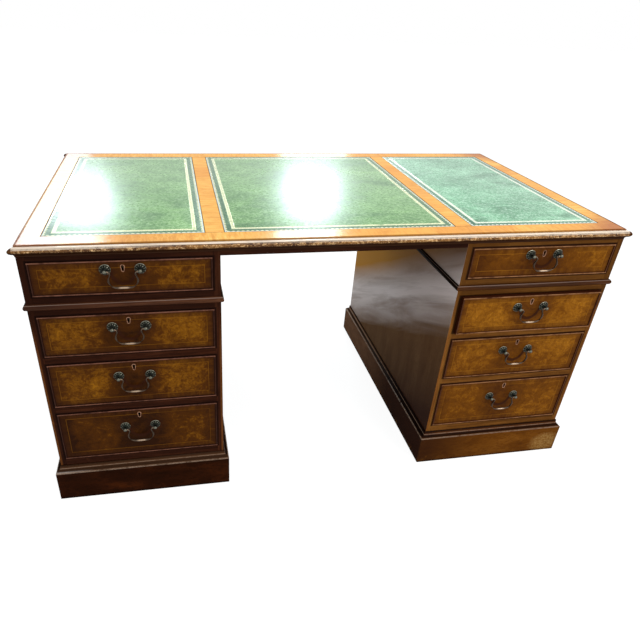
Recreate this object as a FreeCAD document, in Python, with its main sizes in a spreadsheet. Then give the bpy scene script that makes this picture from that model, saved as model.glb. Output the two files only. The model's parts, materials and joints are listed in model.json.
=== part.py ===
import FreeCAD, Part

import os
import re

import Sketcher
from FreeCAD import Placement, Rotation, Vector

# A partners desk: two pedestals under one leather-lined top.  +Z is up, the front faces -Y, and the
# origin is on the floor under the middle of the desk.  Every size is in millimetres.
SIZES = (
    # the top
    ("flat_width", 1556, "flat of the top between its arrises, left to right"),
    ("flat_depth", 836.4, "flat of the top between its arrises, front to back"),
    ("board_thickness", 24, "core board under the banding"),
    ("banding_thickness", 3, "crossbanding laid on the board"),
    ("leather_thickness", 2.6, "writing leather, let in between the banding"),
    ("end_border", 49.6, "banding at the two ends"),
    ("side_border", 52.1, "banding along the front and the back"),
    ("cross_strip", 48, "banding between two leathers"),
    ("centre_leather", 607, "width of the middle leather"),
    ("edge_root", 14, "edge moulding inside the arris"),
    ("edge_reach", 14.4, "nose of the edge moulding beyond the arris"),
    ("nose_drop", 10.8, "nose of the edge moulding below the top"),
    ("edge_step", 2, "tread of the small step at the arris"),
    ("lip_reach", 9.5, "lower lip of the edge moulding beyond the arris"),
    ("lip_drop", 18.5, "lower lip of the edge moulding below the top"),
    ("edge_tuck", 3, "foot of the edge moulding beyond the arris"),
    ("bearer_depth", 10.4, "bearers under the top across the kneehole"),
    ("bearer_width", 45, "the bearers, front to back"),
    # the carcases, from the floor upwards
    ("plinth_board", 96, "plain face of the plinth"),
    ("plinth_moulding", 19.9, "moulding on top of the plinth board"),
    ("base_rail", 23.3, "pedestal's bottom board"),
    ("lower_drawer", 159.2, "opening of the lower drawer"),
    ("lower_rail", 22.3, "rail over the lower drawer"),
    ("middle_drawer", 135.5, "opening of the middle drawer"),
    ("upper_rail", 22.3, "rail over the middle drawer"),
    ("upper_drawer", 116.8, "opening of the upper drawer"),
    ("pedestal_rail", 17.2, "pedestal's top board"),
    ("waist_height", 16.4, "waist moulding and the crown board inside it"),
    ("frieze_rail", 18.4, "floor board of the frieze carcase"),
    ("frieze_drawer", 88.6, "opening of the frieze drawer"),
    ("head_rail", 12.1, "rail between the frieze drawer and the top"),
    ("pedestal_width", 457.7, "pedestal and frieze carcase, left to right"),
    ("side_inset", 1.15, "carcase side inside the arris"),
    ("face_step", 3.8, "carcase front and back beyond the arris"),
    ("frieze_stile", 18, "side board of the frieze carcase"),
    ("pedestal_stile", 16.2, "side board of the pedestal"),
    ("rail_depth", 60, "front rails, front to back"),
    ("partition_thickness", 15, "boards between the front and the back"),
    ("partition_place", 110, "front face of the pedestal's partition behind the desk's middle"),
    ("runner_width", 24, "runner under a drawer side"),
    ("runner_height", 18, "depth of a runner"),
    ("dowel_radius", 6, "locating dowel between pedestal and top"),
    ("dowel_margin", 60, "dowel inside the faces of the carcase"),
    ("dowel_bed", 4, "wood left under and over a dowel"),
    # mouldings
    ("waist_root", 20, "waist moulding inside the pedestal's face"),
    ("waist_tuck", 1, "edges of the waist moulding beyond the face"),
    ("waist_reach", 6.9, "nose of the waist moulding beyond the face"),
    ("plinth_root", 25, "plinth inside the pedestal's face"),
    ("plinth_reach", 15, "plinth beyond the pedestal's face"),
    ("ledge_reach", 12, "small ledge over the plinth board"),
    ("ledge_height", 3, "rise of that ledge"),
    ("cove_reach", 3, "top of the plinth's cove beyond the face"),
    ("cove_height", 12, "rise of the plinth's cove"),
    # drawers and doors
    ("front_thickness", 22, "drawer front and cupboard door"),
    ("front_gap", 0.8, "gap round a drawer front"),
    ("bead_width", 4.5, "cock bead seen from the front"),
    ("bead_proud", 3.2, "cock bead in front of the drawer front"),
    ("lining_thickness", 10, "drawer sides and back"),
    ("bottom_thickness", 5, "drawer bottom"),
    ("bottom_rise", 8, "drawer bottom over the lower edge of the sides"),
    ("running_gap", 0.3, "drawer side over its runner"),
    ("side_gap", 1, "drawer side beside its opening"),
    ("head_gap", 6, "drawer side under the rail above"),
    ("back_gap", 12, "drawer back in front of the partition"),
    ("drawer_ajar", 9, "how far the right upper drawer stands open"),
    # handles, escutcheons and locks
    ("handle_spacing", 80.6, "between the two posts of a handle"),
    ("handle_lift", 20, "posts over the middle of the drawer front"),
    ("rose_radius", 13.3, "rose behind a post"),
    ("rim_thickness", 1.5, "flat rim of the rose"),
    ("step_radius", 10, "first step of the rose"),
    ("step_height", 3.2, "first step in front of the drawer front"),
    ("dome_radius", 8.8, "foot of the rose's dome"),
    ("dome_height", 6.8, "crown of the dome in front of the drawer front"),
    ("neck_radius", 3.1, "neck of the post"),
    ("ball_radius", 4.6, "ball that holds the bail"),
    ("pivot_reach", 16, "bail pivot in front of the drawer front"),
    ("shank_radius", 2, "bolt of the rose, through the drawer front"),
    ("shank_gap", 0.2, "bolt in its hole"),
    ("nut_radius", 6, "round nut inside the drawer"),
    ("nut_height", 4, "thickness of the nut"),
    ("shank_end", 1, "bolt beyond its nut"),
    ("bail_radius", 2, "rod of the bail"),
    ("pin_gap", 0.06, "bail end in its ball"),
    ("pin_depth", 3, "bail end beyond the middle of the ball"),
    ("neck_corner", 4.5, "bend of the bail beside the post"),
    ("neck_half", 29, "bail at its neck, from the middle"),
    ("flare_half", 31.14, "bail where its neck turns out, from the middle"),
    ("flare_drop", 12.5, "the same place under the pivot"),
    ("grip_half", 14.7, "straight of the grip, from the middle"),
    ("bail_drop", 41, "grip under the pivot"),
    ("key_drop", 22.3, "escutcheon under the top of the opening"),
    ("key_head", 5.3, "round head of the escutcheon"),
    ("key_foot", 3.9, "round foot of the escutcheon"),
    ("key_rise", 4.2, "middle of the head over the middle of the escutcheon"),
    ("key_fall", 5.6, "middle of the foot under it"),
    ("key_wall", 1.7, "brass round the keyhole"),
    ("key_depth", 2.6, "escutcheon let into the front"),
    ("key_proud", 0.4, "escutcheon in front of the front"),
    ("key_gap", 0.1, "escutcheon in its seat"),
    ("blind_key", 8, "depth of the keyhole in a dummy drawer front"),
    ("lock_width", 60, "case of the drawer lock"),
    ("lock_height", 36, "case of the drawer lock"),
    ("lock_depth", 10, "lock let into the back of the front"),
    ("lock_rise", 12, "lock over the middle of the escutcheon"),
    # the door hinges
    ("hinge_gap", 2, "gap between the door and the pedestal's side"),
    ("hinge_play", 0.2, "between the two leaves of a closed hinge"),
    ("hinge_reach", 4.6, "hinge axis behind the door's face"),
    ("knuckle_radius", 4, "barrel of the hinge"),
    ("knuckle_gap", 0.2, "between two knuckles"),
    ("knuckle_length", 20, "middle knuckle"),
    ("hinge_pin", 1.6, "radius of the hinge pin"),
    ("leaf_width", 18, "leaf of the hinge"),
    ("leaf_height", 60, "leaf of the hinge"),
    ("hinge_inset", 90, "middle of a hinge inside the door's ends"),
    ("dummy_margin", 5, "dummy drawer front inside the door's edge"),
)

# What the desk is stacked from, upwards from the floor.
STACK = (
    "plinth_board", "plinth_moulding", "base_rail", "lower_drawer", "lower_rail", "middle_drawer",
    "upper_rail", "upper_drawer", "pedestal_rail", "waist_height", "frieze_rail", "frieze_drawer",
    "head_rail", "board_thickness", "banding_thickness",
)

doc = FreeCAD.newDocument("partners_desk")
sheet = doc.addObject("Spreadsheet::Sheet", "Sizes")
for row, (alias, size, note) in enumerate(SIZES, start=1):
    sheet.set(f"A{row}", alias)
    sheet.set(f"B{row}", str(size))
    sheet.set(f"C{row}", note)
    sheet.setAlias(f"B{row}", alias)
doc.recompute()

nodes = []


# ---------------------------------------------------------------- formulas and placing


def formula(text):
    """Point each size that a formula names at its cell of the sheet."""
    return re.sub(r"\b[a-z]\w*\b(?!\()", lambda word: "Sizes." + word.group(), text)


def value(text):
    """Work a formula out, for the first sketch of an outline."""
    return float(sheet.evalExpression(formula(text)))


def over(piece):
    """Height of the upper side of one piece of the stack."""
    return "(" + " + ".join(STACK[:STACK.index(piece) + 1]) + ")"


def bind(target, formulas):
    for path, text in formulas.items():
        target.setExpression(path, formula(text))


def place(target, x="0", y="0", z="0", turn=None):
    target.Placement = Placement(Vector(), turn or Rotation())
    bind(target, {"Placement.Base.x": x, "Placement.Base.y": y, "Placement.Base.z": z})
    return target


HALF_TURN = Rotation(Vector(0, 0, 1), 180)
ALONG_Y = Rotation(Vector(1, 0, 0), -90)

FACE = "(flat_depth / 2 + face_step)"
PEDESTAL_X = "(flat_width / 2 - side_inset - pedestal_width / 2)"
PEDESTAL_OPENING = "(pedestal_width - 2 * pedestal_stile)"
FRIEZE_OPENING = "(pedestal_width - 2 * frieze_stile)"
FLOOR = "0"


# ---------------------------------------------------------------- plain pieces


def board(x, y, z, name="Board"):
    """A rectangular piece; x, y and z each give where it starts and how far it runs."""
    piece = doc.addObject("Part::Box", name)
    bind(piece, {"Length": x[1], "Width": y[1], "Height": z[1]})
    return place(piece, x[0], y[0], z[0])


def centred(size):
    """The run of a piece that lies evenly about the middle."""
    return f"-({size}) / 2", size


def between(low, high):
    return low, f"({high}) - ({low})"


def rod(x, y, z, radius, length, turn=None, name="Rod"):
    """A round piece from (x, y, z), upwards unless it is turned."""
    piece = doc.addObject("Part::Cylinder", name)
    bind(piece, {"Radius": radius, "Height": length})
    return place(piece, x, y, z, turn)


def gather(pieces, name="Group"):
    """Several separate solids as one object."""
    together = doc.addObject("Part::Compound", name)
    together.Links = pieces
    return together


def copy(piece, x="0", y="0", z="0", turn=None):
    return place(gather([piece], "Copy"), x, y, z, turn)


def fuse(pieces):
    joined = doc.addObject("Part::MultiFuse", "Joined")
    joined.Shapes = pieces
    return joined


def cut(base, tools):
    rest = doc.addObject("Part::Cut", "Cut")
    rest.Base = base
    rest.Tool = tools[0] if len(tools) == 1 else fuse(tools)
    return rest


def node(label, pieces, x="0", y="0", z="0", turn=None):
    """One named sub-part of the desk, which is written to a file of its own."""
    part = place(gather(pieces, label), x, y, z, turn)
    part.Label = label
    nodes.append(part)


def node_pair(label, pieces, y="0", z="0", turn=None):
    """The same sub-part under the left and the right of the desk."""
    node("left_" + label, pieces, f"-{PEDESTAL_X}", y, z, turn)
    node("right_" + label, pieces, PEDESTAL_X, y, z, turn)


# ---------------------------------------------------------------- sketches


def sketch_on(body, role):
    sketch = body.newObject("Sketcher::SketchObject", "Outline")
    plane = next(feature for feature in body.Origin.OriginFeatures if feature.Role == role)
    sketch.AttachmentSupport = (plane, [""])
    sketch.MapMode = "FlatFace"
    return sketch


def bend_centre(start, end, bend):
    """Centre of a bend that leaves its start, or reaches its end, square to an axis."""
    held = start if bend.endswith("start") else end
    if bend.startswith("level"):
        gap = (start.y - held.y) ** 2 - (end.y - held.y) ** 2
        return Vector((start.x ** 2 - end.x ** 2 + gap) / (2 * (start.x - end.x)), held.y, 0)
    gap = (start.x - held.x) ** 2 - (end.x - held.x) ** 2
    return Vector(held.x, (start.y ** 2 - end.y ** 2 + gap) / (2 * (start.y - end.y)), 0)


def outline(sketch, corners, closed=True):
    """Draw lines and bends through corners of (x, y) or (x, y, bend), each tied to its formula.

    A bend runs to its corner from the one before.  Its name says which way the centre lies from
    which end: "level" at the same height, "plumb" straight over or under, with "start" or "end".
    """
    points = [Vector(value(corner[0]), value(corner[1]), 0) for corner in corners]
    spans = len(corners) if closed else len(corners) - 1
    ends = []
    for span in range(spans):
        start = points[span]
        end = points[(span + 1) % len(points)]
        bend = (corners[(span + 1) % len(corners)] + (None,))[2]
        if bend is None:
            line = sketch.addGeometry(Part.LineSegment(start, end))
            ends.append(((line, 1), (line, 2)))
            continue
        centre = bend_centre(start, end, bend)
        middle = (start + end) / 2 - centre
        crown = centre + middle * ((start - centre).Length / middle.Length)
        arc = sketch.addGeometry(Part.Arc(start, crown, end))
        first, last = (1, 2) if sketch.getPoint(arc, 1).distanceToPoint(start) < 1e-6 else (2, 1)
        ends.append(((arc, first), (arc, last)))
        level = "Horizontal" if bend.startswith("level") else "Vertical"
        held = first if bend.endswith("start") else last
        sketch.addConstraint(Sketcher.Constraint(level, arc, 3, arc, held))
    for span in range(spans):
        following = (span + 1) % spans
        if following or closed:
            sketch.addConstraint(Sketcher.Constraint("Coincident", *ends[span][1], *ends[following][0]))
    held_ends = [pair[0] for pair in ends] + ([] if closed else [ends[-1][1]])
    for held, corner, point in zip(held_ends, corners, points):
        across = sketch.addConstraint(Sketcher.Constraint("DistanceX", -1, 1, *held, point.x))
        upward = sketch.addConstraint(Sketcher.Constraint("DistanceY", -1, 1, *held, point.y))
        bind(sketch, {f"Constraints[{across}]": corner[0], f"Constraints[{upward}]": corner[1]})


def circle(sketch, x, y, radius):
    """Draw a circle tied to its formulas."""
    centre = Vector(value(x), value(y), 0)
    ring = sketch.addGeometry(Part.Circle(centre, Vector(0, 0, 1), value(radius)))
    across = sketch.addConstraint(Sketcher.Constraint("DistanceX", -1, 1, ring, 3, centre.x))
    upward = sketch.addConstraint(Sketcher.Constraint("DistanceY", -1, 1, ring, 3, centre.y))
    size = sketch.addConstraint(Sketcher.Constraint("Radius", ring, value(radius)))
    bind(sketch, {f"Constraints[{across}]": x, f"Constraints[{upward}]": y, f"Constraints[{size}]": radius})


def feature(body, kind, sketch, **settings):
    step = body.newObject("PartDesign::" + kind, kind)
    step.Profile = sketch
    for name, setting in settings.items():
        setattr(step, name, setting)
    return step


def mitred_frame(half_width, half_depth, root, reach, section):
    """Four mitred lengths of moulding round a rectangle.

    The section's corners are (outward, height) from the rectangle's edge; root and reach are how
    far it runs inside and outside that edge.
    """
    lengths = []
    for quarter in range(4):
        along, across = (half_width, half_depth) if quarter % 2 == 0 else (half_depth, half_width)
        body = doc.addObject("PartDesign::Body", "Moulding")
        profile = sketch_on(body, "YZ_Plane")
        outline(profile, [(f"-({across} + {corner[0]})",) + corner[1:] for corner in section])
        pad = feature(body, "Pad", profile, SideType="Symmetric")
        bind(pad, {"Length": f"2 * ({along} + {reach})"})
        mitres = sketch_on(body, "XY_Plane")
        for end in ("", "-"):
            outline(mitres, [
                (f"{end}({along} - {root})", f"-({across} - {root})"),
                (f"{end}({along} + 2 * {reach})", f"-({across} + 2 * {reach})"),
                (f"{end}({along} + 2 * {reach})", f"-({across} - {root})"),
            ])
        feature(body, "Pocket", mitres, Type="ThroughAll", SideType="Symmetric")
        place(body, turn=Rotation(Vector(0, 0, 1), 90 * quarter))
        lengths.append(body)
    return lengths


# ---------------------------------------------------------------- the top


def build_top():
    under = over("head_rail")
    surface = over("banding_thickness")
    core_width = "(flat_width - 2 * edge_root)"
    core_depth = "(flat_depth - 2 * edge_root)"
    node("top_board", [board(centred(core_width), centred(core_depth), (under, "board_thickness"))])

    bed = (over("board_thickness"), "banding_thickness")
    inner_depth = "(flat_depth - 2 * side_border)"
    banding = []
    for side in ("-(flat_depth / 2)", "flat_depth / 2 - side_border"):
        banding.append(board(centred("flat_width"), (side, "side_border"), bed))
    for end in ("-(flat_width / 2)", "flat_width / 2 - end_border"):
        banding.append(board((end, "end_border"), centred(inner_depth), bed))
    for strip in ("-(centre_leather / 2 + cross_strip)", "centre_leather / 2"):
        banding.append(board((strip, "cross_strip"), centred(inner_depth), bed))
    node("top_crossbanding", banding)

    skin = (over("board_thickness"), "leather_thickness")
    leather = board(centred("centre_leather"), centred(inner_depth), skin)
    node("centre_leather", [leather])
    start = "(centre_leather / 2 + cross_strip)"
    end_width = f"(flat_width / 2 - end_border - {start})"
    leather = board(centred(end_width), centred(inner_depth), skin)
    node("left_leather", [leather], x=f"-({start} + {end_width} / 2)")
    node("right_leather", [leather], x=f"{start} + {end_width} / 2")

    section = [
        ("-edge_root", under),
        ("edge_tuck", under),
        ("lip_reach", f"{surface} - lip_drop", "level start"),
        ("edge_reach", f"{surface} - nose_drop", "level end"),
        ("edge_step", over("board_thickness"), "level start"),
        ("-edge_root", over("board_thickness")),
    ]
    lengths = mitred_frame("flat_width / 2", "flat_depth / 2", "edge_root", "edge_reach", section)
    node("top_edge_moulding", lengths)

    knee_width = f"2 * ({PEDESTAL_X} - pedestal_width / 2)"
    height = (f"{under} - bearer_depth", "bearer_depth")
    bearers = [
        board(centred(knee_width), (side, "bearer_width"), height)
        for side in (f"-{FACE}", f"{FACE} - bearer_width")
    ]
    node("top_bearers", bearers)


# ---------------------------------------------------------------- the carcases


def dowels(grow):
    """The four locating dowels of one pedestal, or with a growth the holes that they stand in."""
    rods = []
    for x in ("-(pedestal_width / 2 - dowel_margin)", "(pedestal_width / 2 - dowel_margin)"):
        for y in (f"-({FACE} - dowel_margin)", f"({FACE} - dowel_margin)"):
            start = f"{over('pedestal_rail')} + dowel_bed - {grow}"
            length = f"waist_height + frieze_rail - 2 * dowel_bed + 2 * {grow}"
            rods.append(rod(x, y, start, f"dowel_radius + {grow}", length))
    return rods


def side_boards(stile, low, high):
    """The two side boards of a carcase."""
    inside = f"(pedestal_width / 2 - {stile})"
    height = between(low, high)
    return [
        board((f"-{inside} - {stile}", stile), centred(f"2 * {FACE}"), height),
        board((inside, stile), centred(f"2 * {FACE}"), height),
    ]


def build_frieze():
    low = over("waist_height")
    high = over("head_rail")
    across = centred(FRIEZE_OPENING)
    holes = dowels("shank_gap")
    floor = cut(board(across, centred(f"2 * {FACE}"), (low, "frieze_rail")), holes)
    pieces = side_boards("frieze_stile", low, high) + [floor]
    for side in (f"-{FACE}", f"{FACE} - rail_depth"):
        pieces.append(board(across, (side, "rail_depth"), (over("frieze_drawer"), "head_rail")))
    pieces.append(board(across, centred("partition_thickness"), between(over("frieze_rail"), high)))
    node_pair("frieze_carcase", pieces)


def build_pedestal():
    low = over("plinth_moulding")
    high = over("pedestal_rail")
    across = centred(PEDESTAL_OPENING)
    whole = centred(f"2 * {FACE}")
    pieces = side_boards("pedestal_stile", low, high)
    pieces.append(board(across, whole, (low, "base_rail")))
    pieces.append(board(across, whole, (over("upper_drawer"), "pedestal_rail")))
    for drawer, rail in (("lower_drawer", "lower_rail"), ("middle_drawer", "upper_rail")):
        pieces.append(board(across, (f"-{FACE}", "rail_depth"), (over(drawer), rail)))
    wall = ("partition_place", "partition_thickness")
    pieces.append(board(across, wall, between(over("base_rail"), over("upper_drawer"))))
    crown = board(
        centred("pedestal_width - 2 * waist_root"), centred(f"2 * ({FACE} - waist_root)"),
        (high, "waist_height"),
    )
    pieces.append(cut(crown, dowels("shank_gap")))
    node_pair("pedestal_carcase", pieces)

    runners = []
    length = between(f"-{FACE} + rail_depth", "partition_place")
    for rail in ("lower_rail", "upper_rail"):
        height = (f"{over(rail)} - runner_height", "runner_height")
        runners.append(board((f"-{PEDESTAL_OPENING} / 2", "runner_width"), length, height))
        runners.append(board((f"{PEDESTAL_OPENING} / 2 - runner_width", "runner_width"), length, height))
    node_pair("drawer_runners", runners)


def build_mouldings():
    nose = f"{over('pedestal_rail')} + waist_height / 2"
    waist = [
        ("-waist_root", over("pedestal_rail")),
        ("waist_tuck", over("pedestal_rail")),
        ("waist_reach", nose, "level end"),
        ("waist_tuck", over("waist_height"), "level start"),
        ("-waist_root", over("waist_height")),
    ]
    node_pair("waist_moulding", mitred_frame("pedestal_width / 2", FACE, "waist_root", "waist_reach", waist))
    ledge = f"{over('plinth_board')} + ledge_height"
    plinth = [
        ("-plinth_root", FLOOR),
        ("plinth_reach", FLOOR),
        ("plinth_reach", over("plinth_board")),
        ("ledge_reach", over("plinth_board")),
        ("ledge_reach", ledge),
        ("cove_reach", f"{ledge} + cove_height", "level end"),
        ("cove_reach", over("plinth_moulding")),
        ("-plinth_root", over("plinth_moulding")),
    ]
    node_pair("plinth", mitred_frame("pedestal_width / 2", FACE, "plinth_root", "plinth_reach", plinth))
    both = [copy(gather(dowels("0")), x=f"{side}{PEDESTAL_X}") for side in ("-", "")]
    node("locating_dowels", both)


# ---------------------------------------------------------------- brass


def rose():
    """A turned rose with its post, ball and bolt, in one piece; the drawer front is at y = 0."""
    body = doc.addObject("PartDesign::Body", "Rose")
    half = sketch_on(body, "XY_Plane")
    bolt = "front_thickness + nut_height + shank_end"
    ball_top = "(pivot_reach - sqrt(ball_radius * ball_radius - neck_radius * neck_radius))"
    outline(half, [
        ("0", bolt),
        ("shank_radius", bolt),
        ("shank_radius", "0"),
        ("rose_radius", "0"),
        ("rose_radius", "-rim_thickness"),
        ("step_radius", "-step_height", "plumb end"),
        ("dome_radius", "-step_height"),
        ("neck_radius", "-dome_height", "plumb end"),
        ("neck_radius", f"-{ball_top}"),
        ("ball_radius", "-pivot_reach", "level end"),
        ("0", "-pivot_reach - ball_radius", "level start"),
    ])
    feature(body, "Revolution", half, ReferenceAxis=(half, ["V_Axis"]), Angle=360)
    eye = sketch_on(body, "YZ_Plane")
    circle(eye, "-pivot_reach", "0", "bail_radius + pin_gap")
    feature(body, "Pocket", eye, Type="ThroughAll", SideType="Symmetric")
    return body


def bail():
    """A swan-neck bail that hangs from its pivot, which lies along X through the origin."""
    body = doc.addObject("PartDesign::Body", "Bail")
    path = sketch_on(body, "XZ_Plane")
    pin_end = "(handle_spacing / 2 + pin_depth)"
    outline(path, [
        (pin_end, "0"),
        ("neck_half + neck_corner", "0"),
        ("neck_half", "-neck_corner", "plumb start"),
        ("flare_half", "-flare_drop", "level start"),
        ("grip_half", "-bail_drop", "plumb end"),
        ("-grip_half", "-bail_drop"),
        ("-flare_half", "-flare_drop", "plumb start"),
        ("-neck_half", "-neck_corner", "level end"),
        ("-(neck_half + neck_corner)", "0", "plumb end"),
        (f"-{pin_end}", "0"),
    ], closed=False)
    end = sketch_on(body, "YZ_Plane")
    bind(end, {"AttachmentOffset.Base.z": pin_end})
    circle(end, "0", "0", "bail_radius")
    doc.recompute()
    pipe = feature(body, "AdditivePipe", end, Transition="Right corner")
    pipe.Spine = (path, [f"Edge{number}" for number in range(1, 10)])
    return body


def keyhole(head, foot, depth):
    """A keyhole-shaped piece that runs forward from y = 0, about the middle of the escutcheon."""
    body = doc.addObject("PartDesign::Body", "Keyhole")
    shape = sketch_on(body, "XZ_Plane")
    outline(shape, [
        (f"-({head})", "key_rise"),
        ("0", f"key_rise + ({head})", "level start"),
        (head, "key_rise", "level end"),
        (foot, "-key_fall"),
        ("0", f"-key_fall - ({foot})", "level start"),
        (f"-({foot})", "-key_fall", "level end"),
    ])
    pad = feature(body, "Pad", shape)
    bind(pad, {"Length": depth})
    return body


rose_piece = rose()
bail_piece = bail()
nut_piece = cut(
    rod("0", "0", "0", "nut_radius", "nut_height", ALONG_Y),
    [rod("0", "-1", "0", "shank_radius + shank_gap", "nut_height + 2", ALONG_Y)],
)
plate = keyhole("key_head", "key_foot", "key_depth + key_proud")
key_slot = keyhole("key_head - key_wall", "key_foot - key_wall", "front_thickness")
plate_seat = keyhole("key_head + key_gap", "key_foot + key_gap", "key_depth + 1")
escutcheon = cut(copy(plate, y="key_depth"), [copy(key_slot, y="front_thickness / 2")])


def handle_pieces(height):
    """Roses and nuts of a handle at a height."""
    pieces = []
    for x in ("-handle_spacing / 2", "handle_spacing / 2"):
        pieces.append(copy(rose_piece, x=x, z=height))
        pieces.append(copy(nut_piece, x=x, y="front_thickness", z=height))
    return pieces


def handle_bores(height):
    """Holes for the bolts of a handle at a height."""
    length = "front_thickness + 2"
    return [
        rod(x, "-1", height, "shank_radius + shank_gap", length, ALONG_Y)
        for x in ("-handle_spacing / 2", "handle_spacing / 2")
    ]


# ---------------------------------------------------------------- drawers


def bead_ring(width, low, high, back):
    """Cock bead round a front, from proud of it to the given depth."""
    height = f"({high} - {low})"
    whole = board(centred(width), between("-bead_proud", back), (low, height))
    hollow = board(
        centred(f"{width} - 2 * bead_width"), between("-bead_proud - 1", f"{back} + 1"),
        (f"{low} + bead_width", f"{height} - 2 * bead_width"),
    )
    return cut(whole, [hollow])


def drawer(opening, height, depth):
    """Drawer and brass in their own frame: front face at y = 0, opening's lower edge at z = 0."""
    front = f"({opening} - 2 * front_gap)"
    grip = f"({height} / 2 + handle_lift)"
    key = f"({height} - key_drop)"
    panel = board(
        centred(f"{front} - 2 * bead_width"), ("0", "front_thickness"),
        ("front_gap + bead_width", f"{height} - 2 * front_gap - 2 * bead_width"),
    )
    lock_place = (f"{key} + lock_rise - lock_height", "lock_height")
    mortise = board(
        centred("lock_width + 2 * key_gap"), ("front_thickness - lock_depth", "lock_depth + 1"), lock_place,
    )
    seats = handle_bores(grip)
    seats += [copy(plate_seat, y="key_depth", z=key), copy(key_slot, y="front_thickness", z=key), mortise]
    bead = bead_ring(front, "front_gap", f"({height} - front_gap)", "front_thickness")

    inside = f"({opening} - 2 * side_gap - 2 * lining_thickness)"
    length = between("front_thickness", depth)
    side_height = between("running_gap", f"{height} - head_gap")
    linings = [
        board((f"-{inside} / 2 - lining_thickness", "lining_thickness"), length, side_height),
        board((f"{inside} / 2", "lining_thickness"), length, side_height),
        board(centred(inside), length, ("bottom_rise", "bottom_thickness")),
        board(
            centred(inside), (f"{depth} - lining_thickness", "lining_thickness"),
            between("bottom_rise + bottom_thickness", f"{height} - head_gap"),
        ),
    ]
    lock_case = board(centred("lock_width"), ("front_thickness - lock_depth", "lock_depth"), lock_place)
    brass = handle_pieces(grip) + [copy(escutcheon, z=key), lock_case]
    return [cut(panel, seats), bead] + linings, brass, grip


def drawer_nodes(name, made, side, opening_floor, facing, ajar="0"):
    """Set one drawer with its brass and its bail into the desk."""
    wood, brass, grip = made
    x = f"{side}{PEDESTAL_X}"
    turn = HALF_TURN if facing == "back" else None
    sign = "" if facing == "back" else "-"
    y = f"{sign}({FACE} + {ajar})"
    node(f"{name}_drawer", wood, x, y, opening_floor, turn)
    node(f"{name}_fittings", brass, x, y, opening_floor, turn)
    pivot = f"{sign}({FACE} + {ajar} + pivot_reach)"
    node(f"{name}_bail", [bail_piece], x, pivot, f"{opening_floor} + {grip}", turn)


def build_drawers():
    pedestal_depth = f"({FACE} + partition_place - back_gap)"
    frieze_depth = f"({FACE} - partition_thickness / 2 - back_gap)"
    frieze = drawer(FRIEZE_OPENING, "frieze_drawer", frieze_depth)
    for side, name in (("-", "left"), ("", "right")):
        drawer_nodes(f"{name}_frieze", frieze, side, over("frieze_rail"), "front")
        drawer_nodes(f"{name}_rear", frieze, side, over("frieze_rail"), "back")
    for row, rail in (("upper", "upper_rail"), ("middle", "lower_rail"), ("lower", "base_rail")):
        made = drawer(PEDESTAL_OPENING, f"{row}_drawer", pedestal_depth)
        for side, name in (("-", "left"), ("", "right")):
            ajar = "drawer_ajar" if (name, row) == ("right", "upper") else "0"
            drawer_nodes(f"{name}_{row}", made, side, over(rail), "front", ajar)


# ---------------------------------------------------------------- cupboard doors


def hinge_leaf(side):
    """One leaf, in from the hinge axis along Y; side is + for the pedestal's, - for the door's."""
    low = "hinge_play / 2" if side == "+" else "-hinge_gap / 2"
    thickness = "hinge_gap / 2 - hinge_play / 2"
    return board((low, thickness), ("-hinge_reach - leaf_width", "leaf_width"), centred("leaf_height"))


def knuckle(low, length, side):
    """A barrel with the tab that joins it to its leaf."""
    start = "hinge_play / 2" if side == "+" else "-hinge_gap / 2"
    thickness = "hinge_gap / 2 - hinge_play / 2"
    tab = board((start, thickness), ("-hinge_reach - hinge_pin", "hinge_reach + hinge_pin"), (low, length))
    return [rod("0", "0", low, "knuckle_radius", length), tab]


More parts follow.
